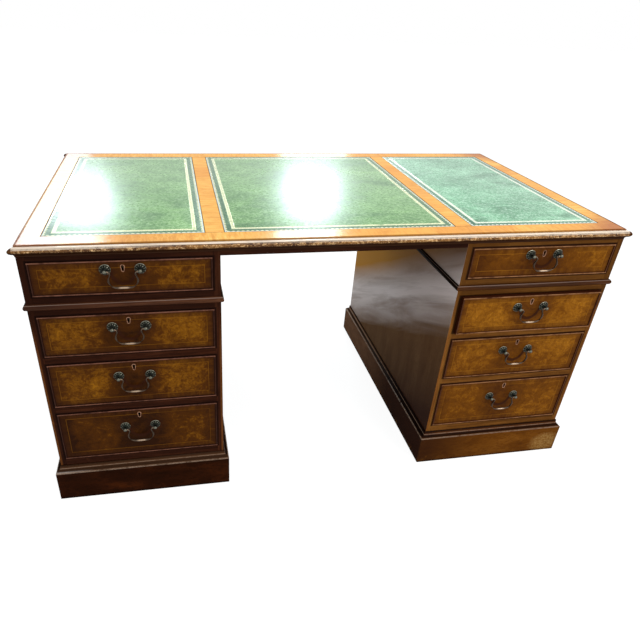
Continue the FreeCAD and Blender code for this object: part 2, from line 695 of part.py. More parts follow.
def build_doors():
    opening_floor = over("base_rail")
    height = "(lower_drawer + lower_rail + middle_drawer + upper_rail + upper_drawer)"
    width = f"({PEDESTAL_OPENING} - 2 * hinge_gap)"
    panel = board(centred(width), ("0", "front_thickness"), ("front_gap", f"{height} - 2 * front_gap"))
    floors = {
        "lower": "0",
        "middle": "(lower_drawer + lower_rail)",
        "upper": "(lower_drawer + lower_rail + middle_drawer + upper_rail)",
    }
    seats = []
    beads = []
    brass = []
    grips = {}
    for name, low in floors.items():
        grips[name] = f"({low} + {name}_drawer / 2 + handle_lift)"
        key = f"({low} + {name}_drawer - key_drop)"
        seats += handle_bores(grips[name])
        seats += [copy(plate_seat, y="key_depth", z=key), copy(key_slot, y="blind_key", z=key)]
        ring_top = f"({low} + {name}_drawer - front_gap)"
        beads.append(bead_ring(f"({width} - 2 * dummy_margin)", f"({low} + front_gap)", ring_top, "0"))
        brass += handle_pieces(grips[name]) + [copy(escutcheon, z=key)]
    wood = [cut(panel, seats)] + beads

    end = "(leaf_height - knuckle_length) / 2"
    pin = rod("0", "0", "-leaf_height / 2", "hinge_pin", "leaf_height")
    upper_knuckle = knuckle("knuckle_length / 2", end, "+")
    lower_knuckle = knuckle("-leaf_height / 2", end, "+")
    fixed = fuse([hinge_leaf("+"), pin] + upper_knuckle + lower_knuckle)
    middle = knuckle("-knuckle_length / 2 + knuckle_gap", "knuckle_length - 2 * knuckle_gap", "-")
    bore = rod("0", "0", "-knuckle_length", "hinge_pin + pin_gap", "2 * knuckle_length")
    moving = cut(fuse([hinge_leaf("-")] + middle), [bore])

    reach = f"({PEDESTAL_OPENING} / 2 - hinge_gap / 2)"
    over_turn = Rotation(Vector(0, 1, 0), 180)
    for side, name in (("-", "left"), ("", "right")):
        turn = over_turn if name == "left" else None
        axis_x = f"{side}({PEDESTAL_X} + {reach})"
        heights = (f"{opening_floor} + hinge_inset", f"{opening_floor} + {height} - hinge_inset")
        axis_y = f"{FACE} + hinge_reach"
        x = f"{side}{PEDESTAL_X}"
        node(f"{name}_door", wood, x, FACE, opening_floor, HALF_TURN)
        fittings = [copy(gather(brass), x, FACE, opening_floor, HALF_TURN)]
        fittings += [copy(moving, axis_x, axis_y, z, turn) for z in heights]
        node(f"{name}_door_fittings", fittings)
        node(f"{name}_door_hinges", [copy(fixed, axis_x, axis_y, z, turn) for z in heights])
        pivot = f"{FACE} + pivot_reach"
        for row, grip in grips.items():
            hung = f"{opening_floor} + {grip}"
            node(f"{name}_door_{row}_bail", [bail_piece], x, pivot, hung, HALF_TURN)


# ---------------------------------------------------------------- making and writing


build_top()
build_frieze()
build_pedestal()
build_mouldings()
build_drawers()
build_doors()
doc.recompute()

for item in doc.Objects:
    if "Invalid" in item.State or "Error" in item.State:
        raise RuntimeError(f"{item.Name} could not be made: {item.State}")
for part in nodes:
    if part.Shape.isNull() or not part.Shape.isValid() or not part.Shape.Solids:
        raise RuntimeError(f"{part.Label} is not a sound solid")

os.makedirs("parts", exist_ok=True)
for part in nodes:
    part.Shape.exportStep(f"parts/{part.Label}.step")
print(f"{len(nodes)} sub-parts written")
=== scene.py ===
"""Finishes and fittings of a leather-topped partners desk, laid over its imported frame."""

import json
import logging
import math
from dataclasses import dataclass, replace
from enum import Enum
from functools import cached_property
from typing import Callable, Optional, Protocol, Sequence, Union

import bpy
from mathutils import Euler, Matrix, Vector

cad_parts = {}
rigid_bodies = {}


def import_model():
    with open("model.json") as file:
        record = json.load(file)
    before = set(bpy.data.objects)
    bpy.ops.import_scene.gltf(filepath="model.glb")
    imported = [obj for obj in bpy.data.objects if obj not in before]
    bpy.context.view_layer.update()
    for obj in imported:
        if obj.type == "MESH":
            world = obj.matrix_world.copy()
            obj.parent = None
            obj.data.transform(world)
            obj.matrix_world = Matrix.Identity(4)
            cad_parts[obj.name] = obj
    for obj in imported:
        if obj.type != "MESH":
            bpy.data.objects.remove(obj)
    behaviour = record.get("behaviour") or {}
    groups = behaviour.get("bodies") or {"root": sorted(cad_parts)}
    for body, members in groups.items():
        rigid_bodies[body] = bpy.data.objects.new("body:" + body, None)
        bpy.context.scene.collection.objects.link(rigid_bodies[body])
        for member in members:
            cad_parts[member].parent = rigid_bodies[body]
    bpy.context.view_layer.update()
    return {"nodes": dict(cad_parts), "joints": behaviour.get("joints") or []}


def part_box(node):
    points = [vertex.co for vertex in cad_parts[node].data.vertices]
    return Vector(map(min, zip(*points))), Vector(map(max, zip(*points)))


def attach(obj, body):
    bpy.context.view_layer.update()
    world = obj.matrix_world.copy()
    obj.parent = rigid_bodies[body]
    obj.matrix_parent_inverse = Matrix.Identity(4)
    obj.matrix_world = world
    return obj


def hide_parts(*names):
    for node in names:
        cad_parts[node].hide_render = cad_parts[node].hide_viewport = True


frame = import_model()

MM = 0.001
HAIRLINE = 0.3 * MM
TOUCHING = 0.01 * MM
NEAR_FRONT = 420 * MM
WEAR_AND_HIGHLIGHT = "touched"
LOG = logging.getLogger("partners_desk")
Colour = tuple[float, float, float, float]
Point = tuple[float, float, float]


def tint(red: int, green: int, blue: int) -> Colour:
    """Colour for a shader, from a painter's chart.

    Args:
        red: Red from 0 to 255.
        green: Green from 0 to 255.
        blue: Blue from 0 to 255.

    Returns:
        The colour in linear light.
    """
    def linear(value: int) -> float:
        """One channel's share of light."""
        share = value / 255
        return share / 12.92 if share <= 0.04045 else ((share + 0.055) / 1.055) ** 2.4
    return (linear(red), linear(green), linear(blue), 1.0)


class Axis(Enum):
    """A direction of the desk: along it, from front to back, or upwards."""
    X = 0
    Y = 1
    Z = 2


class Side(Enum):
    """The two pedestals, each with the sign of its place along X."""
    LEFT = -1
    RIGHT = 1

    @property
    def label(self) -> str:
        """Name of the side as the frame's nodes spell it."""
        return self.name.lower()


# ---------------------------------------------------------------- shader sums


class Wire:
    """A node's output that takes part in sums with numbers and with other wires."""

    def __init__(self, graph: "Graph", socket: bpy.types.NodeSocket) -> None:
        """Hold a socket and the graph that it belongs to."""
        self.graph = graph
        self.socket = socket

    def __add__(self, other: "Value") -> "Wire":
        """Sum."""
        return self.graph.sum("ADD", self, other)

    __radd__ = __add__

    def __sub__(self, other: "Value") -> "Wire":
        """Difference."""
        return self.graph.sum("SUBTRACT", self, other)

    def __rsub__(self, other: "Value") -> "Wire":
        """Difference from a number."""
        return self.graph.sum("SUBTRACT", other, self)

    def __mul__(self, other: "Value") -> "Wire":
        """Product."""
        return self.graph.sum("MULTIPLY", self, other)

    __rmul__ = __mul__

    def __abs__(self) -> "Wire":
        """Size without its sign."""
        return self.graph.sum("ABSOLUTE", self, 0.0)

    def least(self, other: "Value") -> "Wire":
        """The smaller of two values."""
        return self.graph.sum("MINIMUM", self, other)

    def most(self, other: "Value") -> "Wire":
        """The larger of two values."""
        return self.graph.sum("MAXIMUM", self, other)

    def wave(self) -> "Wire":
        """Sine of an angle in radians."""
        return self.graph.sum("SINE", self, 0.0)

    def root(self) -> "Wire":
        """Square root."""
        return self.graph.sum("POWER", self, 0.5)

    def rise(self, low: float, high: float) -> "Wire":
        """0 below low, 1 above high and an even slope between them."""
        span = {"Value": self, "From Min": low, "From Max": high}
        return self.graph.output("ShaderNodeMapRange", {"clamp": True}, span)

    def fall(self, low: float, high: float) -> "Wire":
        """1 below low, 0 above high and an even slope between them."""
        return 1 - self.rise(low, high)

    def line(self, middle: float, half: float, soft: float) -> "Wire":
        """1 within half of the middle value, fading over soft."""
        return abs(self - middle).fall(half, half + soft)


Value = Union[Wire, float]


class Graph:
    """The node tree of one finish, or of the world behind the desk."""

    def __init__(self, name: str, world: bool = False) -> None:
        """Start an empty tree.

        Args:
            name: Name of the finish or the world.
            world: True for the world.
        """
        self.owner = (bpy.data.worlds if world else bpy.data.materials).new(name)
        self.owner.use_nodes = True
        self.tree = self.owner.node_tree
        self.tree.nodes.clear()

    @cached_property
    def place(self) -> Wire:
        """Where a point lies on the desk, in metres."""
        return self.output("ShaderNodeTexCoord", {}, {}, "Object")

    def seen(self) -> Wire:
        """What the camera sees, also in a polish or through glass.

        Returns:
            1 for what is seen, and 0 for soft light.
        """
        path = self.node("ShaderNodeLightPath", {}, {})
        camera, glossy, through = (
            Wire(self, path.outputs[f"Is {ray} Ray"]) for ray in ("Camera", "Glossy", "Transmission")
        )
        return camera.most(glossy).most(through)

    def node(self, kind: str, settings: dict, inputs: dict) -> bpy.types.Node:
        """Add a node.

        Args:
            kind: Type of the node.
            settings: Its properties.
            inputs: Values or wires by the name or number of the socket.

        Returns:
            The node.
        """
        node = self.tree.nodes.new(kind)
        for key, value in settings.items():
            setattr(node, key, value)
        for key, value in inputs.items():
            if isinstance(value, Wire):
                self.tree.links.new(value.socket, node.inputs[key])
            else:
                node.inputs[key].default_value = value
        return node

    def output(self, kind: str, settings: dict, inputs: dict, name: Union[str, int] = 0) -> Wire:
        """Add a node and take one of its outputs.

        Args:
            kind: Type of the node.
            settings: Its properties.
            inputs: Values or wires by socket.
            name: Name or number of the output.

        Returns:
            The output as a wire.
        """
        return Wire(self, self.node(kind, settings, inputs).outputs[name])

    def sum(self, operation: str, first: Value, second: Value) -> Wire:
        """Add a Math node.

        Args:
            operation: What it does.
            first: First value.
            second: Second value.

        Returns:
            The result.
        """
        return self.output("ShaderNodeMath", {"operation": operation}, {0: first, 1: second})

    def axes(self) -> tuple[Wire, Wire, Wire]:
        """X, Y and Z of the place on the desk, in metres."""
        node = self.node("ShaderNodeSeparateXYZ", {}, {0: self.place})
        return tuple(Wire(self, output) for output in node.outputs)

    def spread(self, scale: Sequence[float], shift: Sequence[float] = (0, 0, 0)) -> Wire:
        """The place on the desk, scaled by axis and then shifted."""
        return self.output("ShaderNodeMapping", {}, {"Vector": self.place, "Location": shift, "Scale": scale})

    def noise(
        self, vector: Wire, scale: float, detail: float = 4, roughness: float = 0.55, twist: float = 0,
    ) -> Wire:
        """Soft random pattern from 0 to 1.

        Args:
            vector: Where it is read.
            scale: Waves to the metre of the vector.
            detail: How many finer layers lie over it.
            roughness: Strength of the finer layers.
            twist: How far it bends itself.

        Returns:
            Its strength.
        """
        return self.output("ShaderNodeTexNoise", {}, {
            "Vector": vector, "Scale": scale, "Detail": detail, "Roughness": roughness, "Distortion": twist,
        })

    def cells(self, vector: Wire, scale: float) -> Wire:
        """Distance pattern of scattered points."""
        inputs = {"Vector": vector, "Scale": scale}
        return self.output("ShaderNodeTexVoronoi", {"feature": "F1"}, inputs, "Distance")

    def blend(self, share: Value, first: Union[Wire, Colour], second: Union[Wire, Colour]) -> Wire:
        """Mix two colours.

        Args:
            share: How much of the second.
            first: First colour.
            second: Second colour.

        Returns:
            The mixed colour.
        """
        settings = {"data_type": "RGBA", "blend_type": "MIX", "clamp_factor": True}
        return self.output("ShaderNodeMix", settings, {0: share, 6: first, 7: second}, 2)

    def relief(self, height: Wire, depth: float, strength: float = 1.0) -> Wire:
        """Surface relief from a height pattern whose full range is depth metres."""
        return self.output("ShaderNodeBump", {}, {"Height": height, "Distance": depth, "Strength": strength})

    def surface(self, **sockets: Union[Value, Colour]) -> bpy.types.Material:
        """Close the tree with a principled surface.

        Args:
            sockets: Values and wires, the sockets' names written with underscores.

        Returns:
            The material.
        """
        inputs = {name.replace("_", " "): value for name, value in sockets.items()}
        shader = self.output("ShaderNodeBsdfPrincipled", {}, inputs)
        self.node("ShaderNodeOutputMaterial", {}, {"Surface": shader})
        return self.owner


# ---------------------------------------------------------------- finishes


@dataclass(frozen=True)
class Timber:
    """Colours of a wood, from its darkest streak to its lightest, and how it is figured."""
    dark: Colour
    middle: Colour
    light: Colour
    streak: float = 46.0
    stretch: float = 0.07
    cloud: float = 4.5

    def colour(self, graph: Graph, along: Axis, seed: float = 0.0) -> tuple[Wire, Wire]:
        """Lay the wood's figure in a graph.

        Args:
            graph: Graph that takes it.
            along: Direction of the grain.
            seed: Moves the pattern, so that two boards differ.

        Returns:
            Colour, and the fine grain from 0 to 1.
        """
        scale = [1.0, 1.0, 1.0]
        scale[along.value] = self.stretch
        lie = graph.spread(scale, (seed, seed * 0.7, seed * 1.3))
        figure = graph.noise(lie, self.streak, 6, 0.62, 0.5)
        pores = graph.noise(lie, self.streak * 9, 3, 0.6)
        cloud = graph.noise(graph.place, self.cloud, 3, 0.5, 0.4)
        tone = graph.blend(figure.rise(0.3, 0.55), self.dark, self.middle)
        tone = graph.blend(figure.rise(0.5, 0.74) * cloud.rise(0.35, 0.65), tone, self.light)
        tone = graph.blend(pores.fall(0.34, 0.5) * 0.55, tone, self.dark)
        tone = graph.blend(cloud.fall(0.3, 0.62) * 0.4, tone, self.dark)
        return tone, pores


MAHOGANY = Timber(tint(30, 12, 6), tint(60, 29, 15), tint(88, 50, 29))
PLUM = Timber(tint(22, 9, 6), tint(42, 20, 11), tint(66, 34, 18))
WALNUT = Timber(tint(68, 40, 12), tint(110, 68, 26), tint(142, 98, 42))
FADED_SIDE = Timber(tint(92, 62, 36), tint(104, 74, 46), tint(116, 86, 56), streak=26, stretch=0.2)
DARK_SIDE = Timber(tint(78, 50, 26), tint(106, 76, 48), tint(120, 90, 58), streak=26, stretch=0.2)
ORANGE = Timber(tint(206, 140, 54), tint(232, 172, 78), tint(244, 194, 108), streak=110, stretch=0.2)
OAK = Timber(tint(120, 88, 54), tint(160, 124, 82), tint(184, 150, 106), streak=60)
# Near black for painted shade.
SHADE_BLACK = tint(16, 7, 4)


@dataclass(frozen=True)
class Tones:
    """Woods and veneer colours of one side of the desk, which wear sets apart, and painted light in part: the
    left side is set darker and the right side lighter.
    """
    stiles: Timber
    edges: Timber
    plinth: Timber
    flanks: Timber
    shadow: Colour
    body: Colour
    flash: Colour
    bead: Colour
    # Pale crest of the cock bead, part wear and part painted highlight.
    rubbed: Colour
    # Strength of the darkening along the beads and round the posts, and of the painted bail shadows.
    grime_and_shadow_strength: float
    glows: dict[str, float]
    leans: dict[str, float]


# Painted light in part: the left side's colours are darker and the right side's lighter, as if lit more from
# the right.
TONES = {
    Side.LEFT: Tones(
        stiles=MAHOGANY,
        edges=Timber(tint(50, 27, 17), tint(80, 47, 29), tint(106, 70, 47)),
        plinth=Timber(tint(28, 10, 3), tint(46, 19, 6), tint(72, 33, 10), streak=22, stretch=0.4),
        flanks=Timber(tint(44, 23, 12), tint(70, 41, 24), tint(94, 61, 38), streak=26, stretch=0.2),
        shadow=tint(42, 19, 4),
        body=tint(88, 48, 6),
        flash=tint(150, 97, 18),
        bead=tint(32, 13, 8),
        rubbed=tint(138, 92, 72),
        grime_and_shadow_strength=0.75,
        glows={"frieze": 0.68, "upper": 0.7, "middle": 0.66, "lower": 0.4, "rear": 0.7},
        leans={"lower": 0.2},
    ),
    Side.RIGHT: Tones(
        stiles=WALNUT,
        edges=Timber(tint(40, 20, 8), tint(70, 38, 16), tint(100, 60, 26)),
        plinth=Timber(tint(76, 40, 8), tint(100, 58, 14), tint(120, 74, 24), streak=20, stretch=0.4),
        flanks=Timber(tint(60, 34, 16), tint(88, 55, 30), tint(112, 76, 46), streak=26, stretch=0.2),
        shadow=tint(70, 36, 6),
        body=tint(116, 68, 11),
        flash=tint(162, 106, 24),
        bead=tint(52, 22, 10),
        rubbed=tint(164, 116, 76),
        grime_and_shadow_strength=0.4,
        glows={"frieze": 0.6, "upper": 0.76, "middle": 0.7, "lower": 0.68, "rear": 0.8},
        leans={"frieze": 0.32},
    ),
}
ROSE_BRASS = (tint(30, 32, 24), tint(196, 194, 172), tint(7, 9, 7), tint(14, 28, 20))
BAIL_BRASS = (tint(48, 32, 22), tint(210, 182, 154), tint(18, 11, 8), tint(28, 24, 17))
BRIGHT_BRASS = (tint(186, 140, 112), tint(236, 198, 172), tint(116, 80, 60), tint(120, 94, 74))


@dataclass(frozen=True)
class Polish:
    """How a wood is finished: how smooth its polish is, how thick, and its grain underfoot."""
    gloss: float = 0.3
    film: float = 0.16
    relief: float = 0.06 * MM

    def close(
        self, graph: Graph, colour: Wire, grain: Wire, wear: Value = 0.0, film: Value = 0.0,
    ) -> bpy.types.Material:
        """Finish a wooden surface.

        Args:
            graph: Graph of the surface.
            colour: Its colour.
            grain: Fine grain from 0 to 1.
            wear: Where the polish is worn, from 0 to 1.
            film: How much thicker the polish is in places.

        Returns:
            The material.
        """
        smears = graph.noise(graph.place, 9, 5, 0.62, 0.8)
        roughness = self.gloss + smears * 0.16 - 0.08 + wear * 0.2
        normal = graph.relief(grain + smears * 0.5, self.relief, 0.6)
        weight = (smears * 0.5 + 0.75) * self.film + film
        return graph.surface(
            Base_Color=colour, Roughness=roughness, Specular_IOR_Level=0.0, Normal=normal,
            Coat_Weight=weight, Coat_Roughness=self.gloss * 0.8,
        )


@dataclass(frozen=True)
class Panel:
    """A rectangle on a front, with its middle and half sizes in metres."""
    x: float
    z: float
    half_width: float
    half_height: float

    def inset(self, x: Value, z: Value) -> tuple[Value, Value]:
        """Distances of a place inside the panel's upright and level edges."""
        return self.half_width - abs(x - self.x), self.half_height - abs(z - self.z)

    def off_edge(self, x: float, z: float) -> float:
        """How far a place lies from the panel's edge."""
        return abs(min(self.inset(x, z)))


@dataclass(frozen=True)
class FrontVeneer:
    """Burr centre, stringing line and crossbanded border of a front, darker along its cock bead and round the
    handle posts, with a painted shadow behind each bail.
    """
    name: str
    panels: tuple[Panel, ...]
    shadow: Colour
    body: Colour
    flash: Colour
    glow: float
    seed: float
    posts: tuple[tuple[float, float], ...]
    grime_and_shadow_strength: float
    lean: float = 0.0
    # Colour of the darkening and of the painted bail shadows.
    grime_and_shadow: Colour = tint(51, 24, 12)
    bead: float = 4.5 * MM
    string_place: float = 20 * MM
    string_half: float = 0.6 * MM
    # Size of the arc of the painted bail shadow.
    bail_shadow_half: float = 31 * MM
    bail_shadow_drop: float = 38 * MM

    def material(self) -> bpy.types.Material:
        """Build the finish.

        Returns:
            The material.
        """
        graph = Graph(self.name)
        x, _, z = graph.axes()
        insets = [panel.inset(x, z) for panel in self.panels]
        depth, upright = insets[0][0].least(insets[0][1]), insets[0][0] - insets[0][1]
        for across, along in insets[1:]:
            nearer = across.least(along)
            closer = (nearer - depth).rise(0, TOUCHING)
            upright = upright * (1 - closer) + (across - along) * closer
            depth = depth.most(nearer)
        panel = self.panels[0]
        off = abs(x - panel.x) * (1 / panel.half_width)
        swirl = graph.noise(graph.spread((1, 1, 1.25), (self.seed, 0, self.seed)), 15, 6, 0.6, 2.2)
        mottle = graph.noise(graph.spread((1, 1, 1), (0, self.seed, 0)), 62, 5, 0.66, 1.0)
        fleck = graph.noise(graph.spread((1, 1, 1), (self.seed, 0, 1)), 210, 3, 0.7, 0.4)
        eyes = graph.cells(graph.spread((1, 1, 1), (self.seed, self.seed, 0)), 120)
        patch = graph.noise(graph.spread((1, 1, 1), (self.seed * 2, 0, 0)), 5.5, 3, 0.5, 0.6)
        zone = off.rise(0.12, 0.42) * off.fall(0.8, 1.0)
        lift = z.rise(panel.z - panel.half_height, panel.z + panel.half_height)
        glow = (x - panel.x) * (self.lean / panel.half_width) + swirl * 0.9 + mottle * 0.6
        glow = glow + zone * (0.2 + 0.26 * self.grime_and_shadow_strength) + patch * 0.9 + lift * 0.1 + (self.glow - 0.9)
        burr = graph.blend(glow.rise(0.8, 1.5), self.shadow, self.body)
        burr = graph.blend(glow.rise(1.26, 1.75) * mottle.rise(0.3, 0.66), burr, self.flash)
        burr = graph.blend(eyes.fall(0.14, 0.34) * mottle.rise(0.46, 0.6) * 0.5, burr, self.shadow)
        burr = graph.blend(fleck.fall(0.3, 0.5) * 0.22, burr, self.shadow)
        burr = graph.blend(fleck.rise(0.54, 0.7) * glow.rise(1.2, 1.5) * 0.45, burr, self.flash)
        veneer = Timber(self.shadow, self.body, self.flash, 60, 0.1)
        level, _ = veneer.colour(graph, Axis.X, self.seed)
        plumb, fine = veneer.colour(graph, Axis.Z, self.seed)
        border = graph.blend(upright.fall(-0.4 * MM, 0.4 * MM), plumb, level)
        border = graph.blend(0.6, border, burr)
        border = graph.blend(0.12, border, self.shadow)
        inner = depth.rise(self.string_place, self.string_place + HAIRLINE)
        colour = graph.blend(inner, border, burr)
        string = depth.line(self.string_place, self.string_half, HAIRLINE)
        colour = graph.blend(string * 0.45 * patch.rise(0.3, 0.5), colour, self.flash)
        # Darker along the cock bead, and more faintly across the border.
        grime_and_shadow = depth.fall(self.bead, 12 * MM) * (0.1 + 0.4 * self.grime_and_shadow_strength)
        grime_and_shadow = grime_and_shadow + depth.fall(self.bead, 46 * MM) * (0.1 + 0.24 * self.grime_and_shadow_strength)
        for post_x, post_z in self.posts:
            reach = ((x - post_x) * (x - post_x) + (z - post_z) * (z - post_z)).root()
            # Darker round each handle post.
            grime_and_shadow = grime_and_shadow.most(reach.fall(11 * MM, 34 * MM) * 0.6 * self.grime_and_shadow_strength)
            # Painted shadow: a dark arc on the front just behind each bail.
            wide, deep = (x - panel.x) * (1 / self.bail_shadow_half), (z - post_z) * (1 / self.bail_shadow_drop)
            swing = (wide * wide + deep * deep).root()
            grime_and_shadow = grime_and_shadow.most(swing.line(0.97, 0.09, 0.08) * z.fall(post_z - 6 * MM, post_z + 2 * MM) * 0.85)
        colour = graph.blend(grime_and_shadow.least(1.0), colour, self.grime_and_shadow)
        return Polish(0.3, 0.06).close(graph, colour, fine * 0.5 + mottle, grime_and_shadow * 0.4)


@dataclass(frozen=True)
class BeadWood:
    """Dark cock bead, paler along its crest, part wear and part painted highlight, much more on the level
    beads than the upright ones.
    """
    name: str
    proud: float
    panels: tuple[Panel, ...]
    base: Colour
    rubbed: Colour
    level: float = 0.72
    upright: float = 0.12
    film: float = 0.08

    def material(self) -> bpy.types.Material:
        """Build the finish.

        Returns:
            The material.
        """
        graph = Graph(self.name)
        x, y, z = graph.axes()
        worn = graph.noise(graph.place, 26, 5, 0.66).rise(0.28, 0.56)
        # Painted highlight, mixed with wear: the crest is paler, strongest on the level beads.
        highlit_crest = abs(y).rise(self.proud - 1.0 * MM, self.proud - 0.2 * MM)
        level: Value = 0.0
        for panel in self.panels:
            across, along = panel.inset(x, z)
            level = along.fall(3.4 * MM, 5 * MM) * across.rise(0, 1 * MM) + level
        fine = graph.noise(graph.place, 420, 3)
        share = worn * highlit_crest * (level.least(1.0) * (self.level - self.upright) + self.upright)
        colour = graph.blend(share, self.base, self.rubbed)
        return Polish(0.3, self.film).close(graph, colour, fine, worn * 0.3)


@dataclass(frozen=True)
class CarcaseWood:
    """Upright grain on sides and stiles, level grain on the rails, painted shade round the openings, and a
    painted reflection on the right pedestal's inner flank.
    """
    name: str
    timber: Timber
    sides: Timber
    middle: float
    half_opening: float
    openings: tuple[Panel, ...]
    half_width: float = 228.7 * MM
    face: float = 417 * MM
    gap: float = 3.8 * MM
    # Heights of the slanted line where the painted sheen band and the painted warm band begin.
    sheen_start: tuple[float, float] = (280 * MM, 430 * MM)
    warm_band_start: tuple[float, float] = (460 * MM, 560 * MM)
    # Near black of the painted shade round the openings.
    near_black: Colour = tint(22, 8, 5)
    # Colour of the painted highlight along the stiles' outer edge.
    rim: Colour = tint(128, 76, 32)
    # True where the inner flank carries a painted reflection.
    painted_reflection: bool = False
    # Colours of the painted reflection on the inner flank: the pale sheen, then the warm band at the front and
    # at the back.
    bloom: Colour = tint(220, 208, 204)
    warm_reflection: Colour = tint(172, 120, 50)
    dull_warm_reflection: Colour = tint(112, 84, 64)

    def material(self) -> bpy.types.Material:
        """Build the finish.

        Returns:
            The material.
        """
        graph = Graph(self.name)
        x, y, z = graph.axes()
        upright, fine = self.timber.colour(graph, Axis.Z, self.middle)
        level, _ = self.timber.colour(graph, Axis.X, self.middle)
        rail = abs(x - self.middle).fall(self.half_opening - 0.2 * MM, self.half_opening + 0.2 * MM)
        colour = graph.blend(rail, upright, level)
        rub_and_highlight = graph.noise(graph.place, 24, 5, 0.7, 0.8).rise(0.58, 0.78)
        rim = abs(x - self.middle).rise(self.half_width - 7 * MM, self.half_width - 4 * MM)
        colour = graph.blend(rub_and_highlight * 0.3, colour, self.timber.light)
        # Painted highlight: a lighter streak along the outer upright edge of the stiles, low down.
        colour = graph.blend(rim * rub_and_highlight.rise(-0.8, 0.8) * z.fall(0.45, 0.6) * 0.85, colour, self.rim)
        # Painted shade: darker from half a metre up, over the top rail and the frieze carcase.
        colour = graph.blend(z.rise(0.5, 0.61) * 0.5, colour, self.timber.dark)
        # Painted shade: a near-black band round each opening, where the gap by the front is in shade, wider by
        # the drawer that stands open as its painted shadow.
        for opening in self.openings:
            across, along = opening.inset(x, z)
            gap_shadow = across.least(along).rise(-self.gap - 0.6 * MM, -self.gap + 0.4 * MM)
            gap_shadow = gap_shadow * abs(y).rise(self.face - 1 * MM, self.face + 1 * MM)
            colour = graph.blend(gap_shadow * 0.8, colour, self.near_black)
        side = abs(x - self.middle).rise(self.half_width - 0.4 * MM, self.half_width - 0.2 * MM)
        flank, _ = self.sides.colour(graph, Axis.Z, self.middle)
        colour = graph.blend(side, colour, flank)
        film = side * 0.12
        # Painted reflection on the inner flank: painted shade darkening towards the bottom, a pale sheen band
        # in the middle and a warm band above, all slanted as a reflection lies.
        if self.painted_reflection:
            inner_flank = side * x.fall(self.middle - 1 * MM, self.middle + 1 * MM)
            slant = z + y * 0.5
            lie = graph.output("ShaderNodeCombineXYZ", {}, {0: y * 2.2, 1: slant * 16, 2: x})
            drift = graph.noise(lie, 1.0, 5, 0.6, 0.5)
            level_line = slant + drift * 0.07
            flank_with_painted_reflection, _ = FADED_SIDE.colour(graph, Axis.Z, self.middle)
            above = level_line.rise(*self.warm_band_start)
            kept = level_line.rise(*self.sheen_start) * (1 - above)
            flank_with_painted_reflection = graph.blend(level_line.fall(0.0, 0.3) * 0.95, flank_with_painted_reflection, PLUM.middle)
            flank_with_painted_reflection = graph.blend(above, flank_with_painted_reflection, graph.blend(y.rise(-0.42, 0.15), self.dull_warm_reflection, self.warm_reflection))
            flank_with_painted_reflection = graph.blend(kept * drift.rise(0.15, 0.6) * 0.92, flank_with_painted_reflection, self.bloom)
            colour = graph.blend(inner_flank, colour, flank_with_painted_reflection)
            film = film * (1 - inner_flank) + kept * inner_flank * 0.06
        return Polish(0.3, 0.04).close(graph, colour, fine, rub_and_highlight * 0.4, film)


@dataclass(frozen=True)
class NosingWood:
    """Moulded edge of the top: near black under its nose as painted shade, golden and chipped above it, with
    painted highlights along its step and crown.
    """
    name: str
    low: float = 759.5 * MM
    high: float = 762.5 * MM
    nose: float = 765 * MM
    step: tuple[float, float] = (767.2 * MM, 768.4 * MM)
    groove: float = 769.8 * MM
    crown: tuple[float, float] = (770.6 * MM, 771.4 * MM)
    end: tuple[float, float] = (779.5 * MM, 781.5 * MM)
    # Near black of the painted shade under the nose.
    under: Colour = tint(50, 28, 15)
    brown: Colour = tint(78, 44, 18)
    gold: Colour = tint(160, 110, 50)
    chip: Colour = tint(236, 196, 140)
    # Pale colour of the painted highlights on the step and crown.
    painted_highlight: Colour = tint(218, 202, 182)

    def material(self) -> bpy.types.Material:
        """Build the finish.

        Returns:
            The material.
        """
        graph = Graph(self.name)
        x, _, z = graph.axes()
        blotch = graph.noise(graph.place, 11, 5, 0.62, 1.2)
        crumbs = graph.noise(graph.place, 120, 5, 0.72, 1.4)
        grit = graph.noise(graph.spread((1, 1, 1.4), (3, 1, 2)), 105, 5, 0.8, 1.0)
        over = (z + crumbs * (4 * MM) - 2 * MM).rise(self.low, self.high)
        upper = graph.blend((blotch * 0.7 + grit * 0.8).rise(0.62, 0.9), self.brown, self.gold)
        upper = graph.blend(grit.fall(0.36, 0.47) * 0.75, upper, self.under)
        chips = (grit + crumbs * 0.4).rise(0.72, 0.82) * abs(z - self.nose).fall(3 * MM, 6 * MM)
        upper = graph.blend(chips * 0.8, upper, self.chip)
        # Painted highlight: a pale line along the step, strongest at the left end and right of the middle.
        highlight_reach = x.fall(-0.6, -0.4).most(x.rise(-0.3, 0.1) * 0.8)
        pale = z.rise(*self.step) * highlight_reach * (grit.rise(0.36, 0.5) * 0.5 + 0.3)
        upper = graph.blend(pale, upper, self.painted_highlight)
        # A dark line along the groove, fainter where the step's highlight is strong.
        dark_groove_line = z.line(self.groove, 0.4 * MM, 0.4 * MM) * (1 - highlight_reach * 0.5)
        upper = graph.blend(dark_groove_line * 0.7, upper, self.under)
        # Painted highlight: a pale line along the crown.
        top = z.rise(*self.crown) * (blotch.rise(0.3, 0.5) * 0.35 + 0.65)
        upper = graph.blend(top, upper, self.painted_highlight)
        # The end runs are darker, in the colour under the nose.
        ends = abs(x).rise(*self.end)
        upper = graph.blend(ends * 0.95, upper, graph.blend(crumbs.rise(0.4, 0.6), self.under, self.brown))
        # Painted shade: below the nose the edge is near black.
        colour = graph.blend(over, self.under, upper)
        film = (over * 0.35 + top * 0.4 + 0.06) * (1 - ends)
        return Polish(0.2, 0.0).close(graph, colour, crumbs, chips * 0.5, film)


